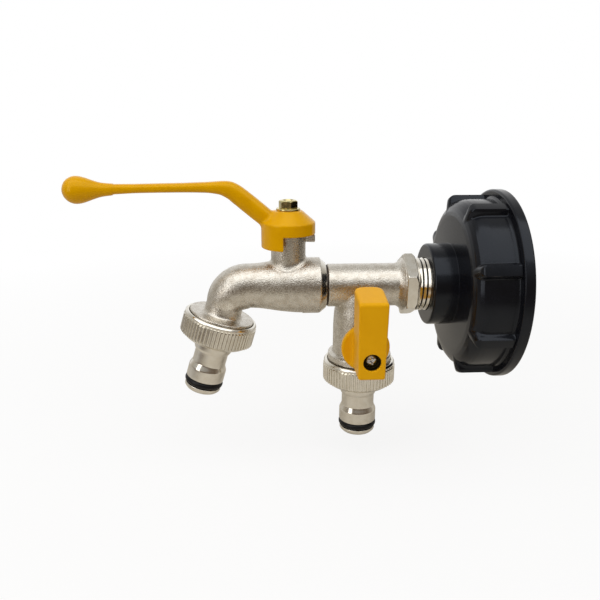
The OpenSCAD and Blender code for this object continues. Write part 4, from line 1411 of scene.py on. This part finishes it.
@dataclass(frozen=True)
class FlagHandle:
    """Moulded flag handle of the branch valve and its screw."""

    axis_x: float
    pivot_z: float
    half_width: float = 6.0
    front: float = 33.0
    back: float = 16.6
    up: float = 24.5
    rise: float = 2.6
    down: float = 7.4
    skirt_radius: float = 10.2
    skirt_back: float = 14.3
    hollow_front: float = 16.3
    foot_width: float = 10.9
    skirt_front: float = 17.2
    hole_radius: float = 3.6
    screw_seat: float = 29.4
    head_radius: float = 2.8
    head_height: float = 1.6
    step: float = 0.28

    def distance(self, x: Array, y: Array, z: Array) -> Array:
        """Signed distance to the handle, with its origin at the pivot and the front at -Y."""
        depth = -y
        share = (z + self.down) / (self.up + self.rise + self.down)
        half = self.foot_width / 2 + (self.half_width - self.foot_width / 2) * share
        block = smooth_max(np.abs(x) - half, depth - self.front, 0.9)
        block = smooth_max(block, self.back - depth, 4.0)
        slope = self.rise / (self.front - self.back)
        top = (z - self.up - (self.front - depth) * slope) / math.hypot(1.0, slope)
        block = smooth_max(block, top, 1.4)
        block = smooth_max(block, -self.down - z, 1.0)
        from_pivot = np.hypot(x, z)
        skirt = rod(from_pivot, depth, self.skirt_radius, self.skirt_back, self.skirt_front, 0.8)
        body = smooth_min(block, skirt, 2.2)
        hollow = np.maximum(np.maximum(np.abs(x) - 4.2, np.abs(depth - 26.0) - 8.0), np.abs(z - 17.0) - 5.8)
        hollow = np.maximum(hollow, depth - self.front + 1.8)
        hollow = np.minimum(hollow, np.maximum(from_pivot - 8.4, depth - self.hollow_front))
        hollow = np.minimum(hollow, np.maximum(from_pivot - 3.3, depth - self.hollow_front - 1.6))
        hollow = np.minimum(hollow, np.maximum(np.maximum(np.abs(x), np.abs(z)) - 2.12, depth - 23.9))
        hollow = np.minimum(hollow, from_pivot - 1.7)
        hollow = np.minimum(hollow, np.maximum(from_pivot - self.hole_radius, self.screw_seat - depth))
        return smooth_max(body, -hollow, 0.3)

    def screw_distance(self, x: Array, y: Array, z: Array) -> Array:
        """Signed distance to the screw, built along +Z from the branch axis."""
        radius = np.hypot(x, y)
        seat = self.screw_seat + 0.02
        dome = np.hypot(radius, z - seat + 2.2) - 3.72
        head = smooth_max(np.maximum(radius - self.head_radius, seat - z), dome, 0.3)
        shank = rod(radius, z, 1.48, 18.0, seat + 0.3, 0.3)
        turn = math.radians(20)
        u, v = x * math.cos(turn) + y * math.sin(turn), y * math.cos(turn) - x * math.sin(turn)
        depth = seat + 0.35 - z + radius * 0.35
        slot = np.minimum(
            np.maximum(np.abs(u) - 1.65, np.abs(v) - 0.34), np.maximum(np.abs(v) - 1.65, np.abs(u) - 0.34)
        )
        slot = np.maximum(np.minimum(slot, radius - 0.72), depth)
        return smooth_max(np.minimum(head, shank), -slot, 0.1)

    def build(self, shop: Workshop) -> None:
        """Makes the handle and its screw."""
        reach = self.skirt_radius + 0.8
        low = (-reach, -self.front - 0.8, -reach)
        high = (reach, -self.skirt_back + 0.8, self.up + self.rise + 0.8)
        points, faces = Sculpt(self.distance, low, high, self.step).mesh()
        pivot = (self.axis_x, 0.0, self.pivot_z)
        handle = new_piece("flag_moulding", points, faces, along(Axis.UP, pivot), crease=60.0)
        shop.dress(handle, Body.FLAG, Slot.FLAG, "branch_handle")
        reach = self.head_radius + 0.3
        top = self.screw_seat + self.head_height + 0.4
        points, faces = Sculpt(self.screw_distance, (-reach, -reach, 17.6), (reach, reach, top), 0.12).mesh()
        screw = new_piece("flag_screw", points, faces, along(Axis.TO_FRONT, pivot), crease=60.0)
        shop.dress(screw, Body.FLAG, Slot.SCREW, "branch_handle_screw")


@dataclass(frozen=True)
class Studio:
    """Camera at the photograph's place, soft lamps, pale floor and white backdrop."""

    azimuth: float = -3.6
    elevation: float = 17.2
    roll: float = 0.16
    distance: float = 269.6
    target: Point = (-78.36, 0.0, -6.56)
    lens: float = 37.2
    floor_z: float = -82.0
    floor_size: float = 3000.0

    def camera(self) -> None:
        """Sets the camera."""
        a, e, q = (math.radians(v) for v in (self.azimuth, self.elevation, self.roll))
        back = Vector((math.sin(a) * math.cos(e), -math.cos(a) * math.cos(e), math.sin(e)))
        right = Vector((math.cos(a), math.sin(a), 0.0))
        up = back.cross(right)
        right, up = right * math.cos(q) + up * math.sin(q), up * math.cos(q) - right * math.sin(q)
        data = bpy.data.cameras.new("camera")
        data.lens, data.sensor_width = self.lens, 36.0
        data.clip_start, data.clip_end = 0.01, 20.0
        camera = bpy.data.objects.new("camera", data)
        spot = (Vector(self.target) + back * self.distance) * MM
        camera.matrix_world = Matrix.Translation(spot) @ Matrix((right, up, back)).transposed().to_4x4()
        bpy.context.scene.collection.objects.link(camera)
        bpy.context.scene.camera = camera

    def lamp(
        self, name: str, spot: Point, aim: Point, size: tuple[float, float], power: float, colour: Point
    ) -> None:
        """Adds a soft rectangular lamp.

        Args:
            name: The lamp's name.
            spot: Where it hangs, in millimetres.
            aim: The point it faces.
            size: Its width and height, in millimetres.
            power: Its power in watts.
            colour: Its colour.
        """
        data = bpy.data.lights.new(name, "AREA")
        data.shape = "RECTANGLE"
        data.size, data.size_y = size[0] * MM, size[1] * MM
        data.energy, data.color = power, colour
        lamp = bpy.data.objects.new(name, data)
        place, goal = Vector(spot) * MM, Vector(aim) * MM
        lamp.location = place
        lamp.rotation_euler = (place - goal).to_track_quat("Z", "Y").to_euler()
        bpy.context.scene.collection.objects.link(lamp)

    def lamps(self) -> None:
        """Hangs the lamps."""
        aim = (-70.0, 0.0, 0.0)
        self.lamp("key", (-90.0, -305.0, 700.0), aim, (1700.0, 760.0), 4.9, (0.985, 0.99, 1.0))
        self.lamp("side", (-640.0, -420.0, 160.0), aim, (300.0, 420.0), 0.7, (1.0, 0.99, 0.98))

    def graded(self, tree: bpy.types.NodeTree, stops: Sequence[tuple[float, Point]]) -> bpy.types.Node:
        """Adds a colour ramp.

        Args:
            tree: The node tree.
            stops: Place and colour of each stop.

        Returns:
            The ramp node.
        """
        ramp = tree.nodes.new("ShaderNodeValToRGB")
        while len(ramp.color_ramp.elements) < len(stops):
            ramp.color_ramp.elements.new(0.5)
        for element, (spot, colour) in zip(ramp.color_ramp.elements, stops):
            element.position = spot
            element.color = (*colour, 1.0)
        return ramp

    def world(self) -> None:
        """Sets a backdrop that is white where it is seen or mirrored, in a graded room."""
        world = bpy.data.worlds.new("room")
        world.use_nodes = True
        tree = world.node_tree
        tree.nodes.clear()
        output = tree.nodes.new("ShaderNodeOutputWorld")
        mix = tree.nodes.new("ShaderNodeMixShader")
        white = tree.nodes.new("ShaderNodeBackground")
        room = tree.nodes.new("ShaderNodeBackground")
        path = tree.nodes.new("ShaderNodeLightPath")
        seen = tree.nodes.new("ShaderNodeMath")
        seen.operation = "MAXIMUM"
        shown = tree.nodes.new("ShaderNodeMath")
        shown.operation = "MAXIMUM"
        mirrored = tree.nodes.new("ShaderNodeMath")
        mirrored.operation = "MULTIPLY"
        backdrop = tree.nodes.new("ShaderNodeMapRange")
        backdrop.inputs["From Min"].default_value = 0.35
        backdrop.inputs["From Max"].default_value = 0.95
        place = tree.nodes.new("ShaderNodeTexCoord")
        split = tree.nodes.new("ShaderNodeSeparateXYZ")
        front = self.graded(tree, [
            (0.50, (0.15, 0.115, 0.085)), (0.63, (0.17, 0.135, 0.105)), (0.72, (0.40, 0.39, 0.37)),
            (1.0, (0.50, 0.49, 0.47)),
        ])
        behind = self.graded(tree, [
            (0.45, (0.42, 0.38, 0.32)), (0.8, (0.50, 0.48, 0.44)), (1.0, (0.50, 0.49, 0.47)),
        ])
        level = tree.nodes.new("ShaderNodeMapRange")
        level.inputs["From Min"].default_value = -1.0
        side = tree.nodes.new("ShaderNodeMapRange")
        side.inputs["From Min"].default_value = -0.55
        side.inputs["From Max"].default_value = 0.25
        both = tree.nodes.new("ShaderNodeMix")
        both.data_type = "RGBA"
        links = tree.links
        links.new(place.outputs["Generated"], split.inputs[0])
        links.new(split.outputs["Z"], level.inputs["Value"])
        links.new(split.outputs["Y"], side.inputs["Value"])
        links.new(level.outputs["Result"], front.inputs["Fac"])
        links.new(level.outputs["Result"], behind.inputs["Fac"])
        links.new(side.outputs["Result"], both.inputs["Factor"])
        links.new(front.outputs["Color"], both.inputs["A"])
        links.new(behind.outputs["Color"], both.inputs["B"])
        links.new(both.outputs["Result"], room.inputs["Color"])
        links.new(path.outputs["Is Camera Ray"], seen.inputs[0])
        links.new(path.outputs["Is Transmission Ray"], seen.inputs[1])
        links.new(split.outputs["Y"], backdrop.inputs["Value"])
        links.new(path.outputs["Is Glossy Ray"], mirrored.inputs[0])
        links.new(backdrop.outputs["Result"], mirrored.inputs[1])
        links.new(seen.outputs[0], shown.inputs[0])
        links.new(mirrored.outputs[0], shown.inputs[1])
        links.new(shown.outputs[0], mix.inputs["Fac"])
        links.new(room.outputs[0], mix.inputs[1])
        links.new(white.outputs[0], mix.inputs[2])
        links.new(mix.outputs[0], output.inputs["Surface"])
        white.inputs["Color"].default_value = (1.0, 1.0, 1.0, 1.0)
        bpy.context.scene.world = world

    def floor(self) -> None:
        """Lays the pale floor, which melts into the white backdrop."""
        half = self.floor_size / 2
        corners = np.array([(-half, -half, self.floor_z), (half, -half, self.floor_z),
                            (half, half, self.floor_z), (-half, half, self.floor_z)])
        floor = new_piece("floor", corners, np.array([[0, 1, 2, 3]]))
        shader = Shader("pale_floor")
        nodes = shader.tree
        nodes.nodes.remove(shader.surface)
        lit = shader.node("ShaderNodeBsdfDiffuse")
        pale = shader.node("ShaderNodeBsdfDiffuse")
        pale.inputs["Color"].default_value = (0.95, 0.95, 0.95, 1.0)
        glow = shader.node("ShaderNodeEmission")
        seen = shader.node("ShaderNodeMixShader")
        mix = shader.node("ShaderNodeMixShader")
        path = shader.node("ShaderNodeLightPath")
        reach = shader.node("ShaderNodeVectorMath", operation="LENGTH")
        fade = shader.node("ShaderNodeMapRange")
        fade.inputs["From Min"].default_value = 0.20
        fade.inputs["From Max"].default_value = 0.50
        far = shader.node("ShaderNodeEmission")
        room = shader.node("ShaderNodeMixShader")
        split = shader.node("ShaderNodeSeparateXYZ")
        behind = shader.node("ShaderNodeMapRange")
        behind.inputs["From Min"].default_value = -0.25
        behind.inputs["From Max"].default_value = 0.05
        shade = shader.node("ShaderNodeMix", data_type="RGBA")
        shade.inputs["A"].default_value = (0.15, 0.12, 0.09, 1.0)
        shade.inputs["B"].default_value = (0.50, 0.48, 0.45, 1.0)
        lit.inputs["Color"].default_value = (0.68, 0.64, 0.57, 1.0)
        part = shader.node("ShaderNodeMapRange")
        part.inputs["To Min"].default_value = 0.84
        shader.link(shader.place, "Object", reach, 0)
        shader.link(reach, "Value", fade, "Value")
        shader.link(shader.place, "Object", split, 0)
        shader.link(split, "Y", behind, "Value")
        shader.link(behind, "Result", shade, "Factor")
        shader.link(shade, "Result", far, "Color")
        shader.link(fade, "Result", room, "Fac")
        shader.link(lit, "BSDF", room, 1)
        shader.link(far, "Emission", room, 2)
        shader.link(fade, "Result", part, "Value")
        shader.link(part, "Result", seen, "Fac")
        shader.link(pale, "BSDF", seen, 1)
        shader.link(glow, "Emission", seen, 2)
        shader.link(path, "Is Camera Ray", mix, "Fac")
        shader.link(room, "Shader", mix, 1)
        shader.link(seen, "Shader", mix, 2)
        shader.link(mix, "Shader", shader.output, "Surface")
        floor.data.materials.append(shader.material)

    def build(self) -> None:
        """Sets up the studio."""
        bpy.context.scene.view_settings.view_transform = "Standard"
        self.camera()
        self.lamps()
        self.world()
        self.floor()


def outlet_origin(name: str, middle: float) -> tuple[Point, float]:
    """Finds where an outlet's axis starts.

    Args:
        name: The nipple's mount.
        middle: How far down the outlet's axis that mount's middle lies.

    Returns:
        The origin in millimetres and the axis's lean in degrees.
    """
    row = mount(name)
    spot, axis = Vector(millimetres(row["pos_m"])), Vector(row["axis"])
    return tuple(spot - axis * middle), math.degrees(math.atan2(-axis.x, -axis.z))


def main() -> None:
    """Builds each sub-assembly in order."""
    logging.basicConfig(level=logging.INFO, format="%(message)s")
    shop = Workshop()
    shop.paint_nodes()
    nipple_middle = 30.15
    land = mount("tap_nipple")["dims"]["r_mm"]
    tap_origin, lean = outlet_origin("tap_nipple", nipple_middle)
    branch_origin, upright = outlet_origin("branch_nipple", nipple_middle)
    tap_x = millimetres(joint("lever_turn")["pos_m"])[0]
    branch_x, _, ball_z = millimetres(joint("flag_turn")["pos_m"])
    TankCap().build(shop)
    Tee(branch_x, ball_z, outlet_z=branch_origin[2]).build(shop)
    tap = Tap(tap_x, tap_origin, lean)
    tap.build(shop)
    GrooveDarkRing(tap_x + tap.end_x, branch_x + Tee.run_start).build(shop)
    Lever(tap_x).build(shop)
    LeverNut(tap_x).build(shop)
    FlagHandle(branch_x, ball_z).build(shop)
    UnionOutlet("branch", branch_origin, upright, land).build(shop)
    UnionOutlet("tap", tap_origin, lean, land).build(shop)
    Studio().build()


if __name__ == "__main__":
    main()
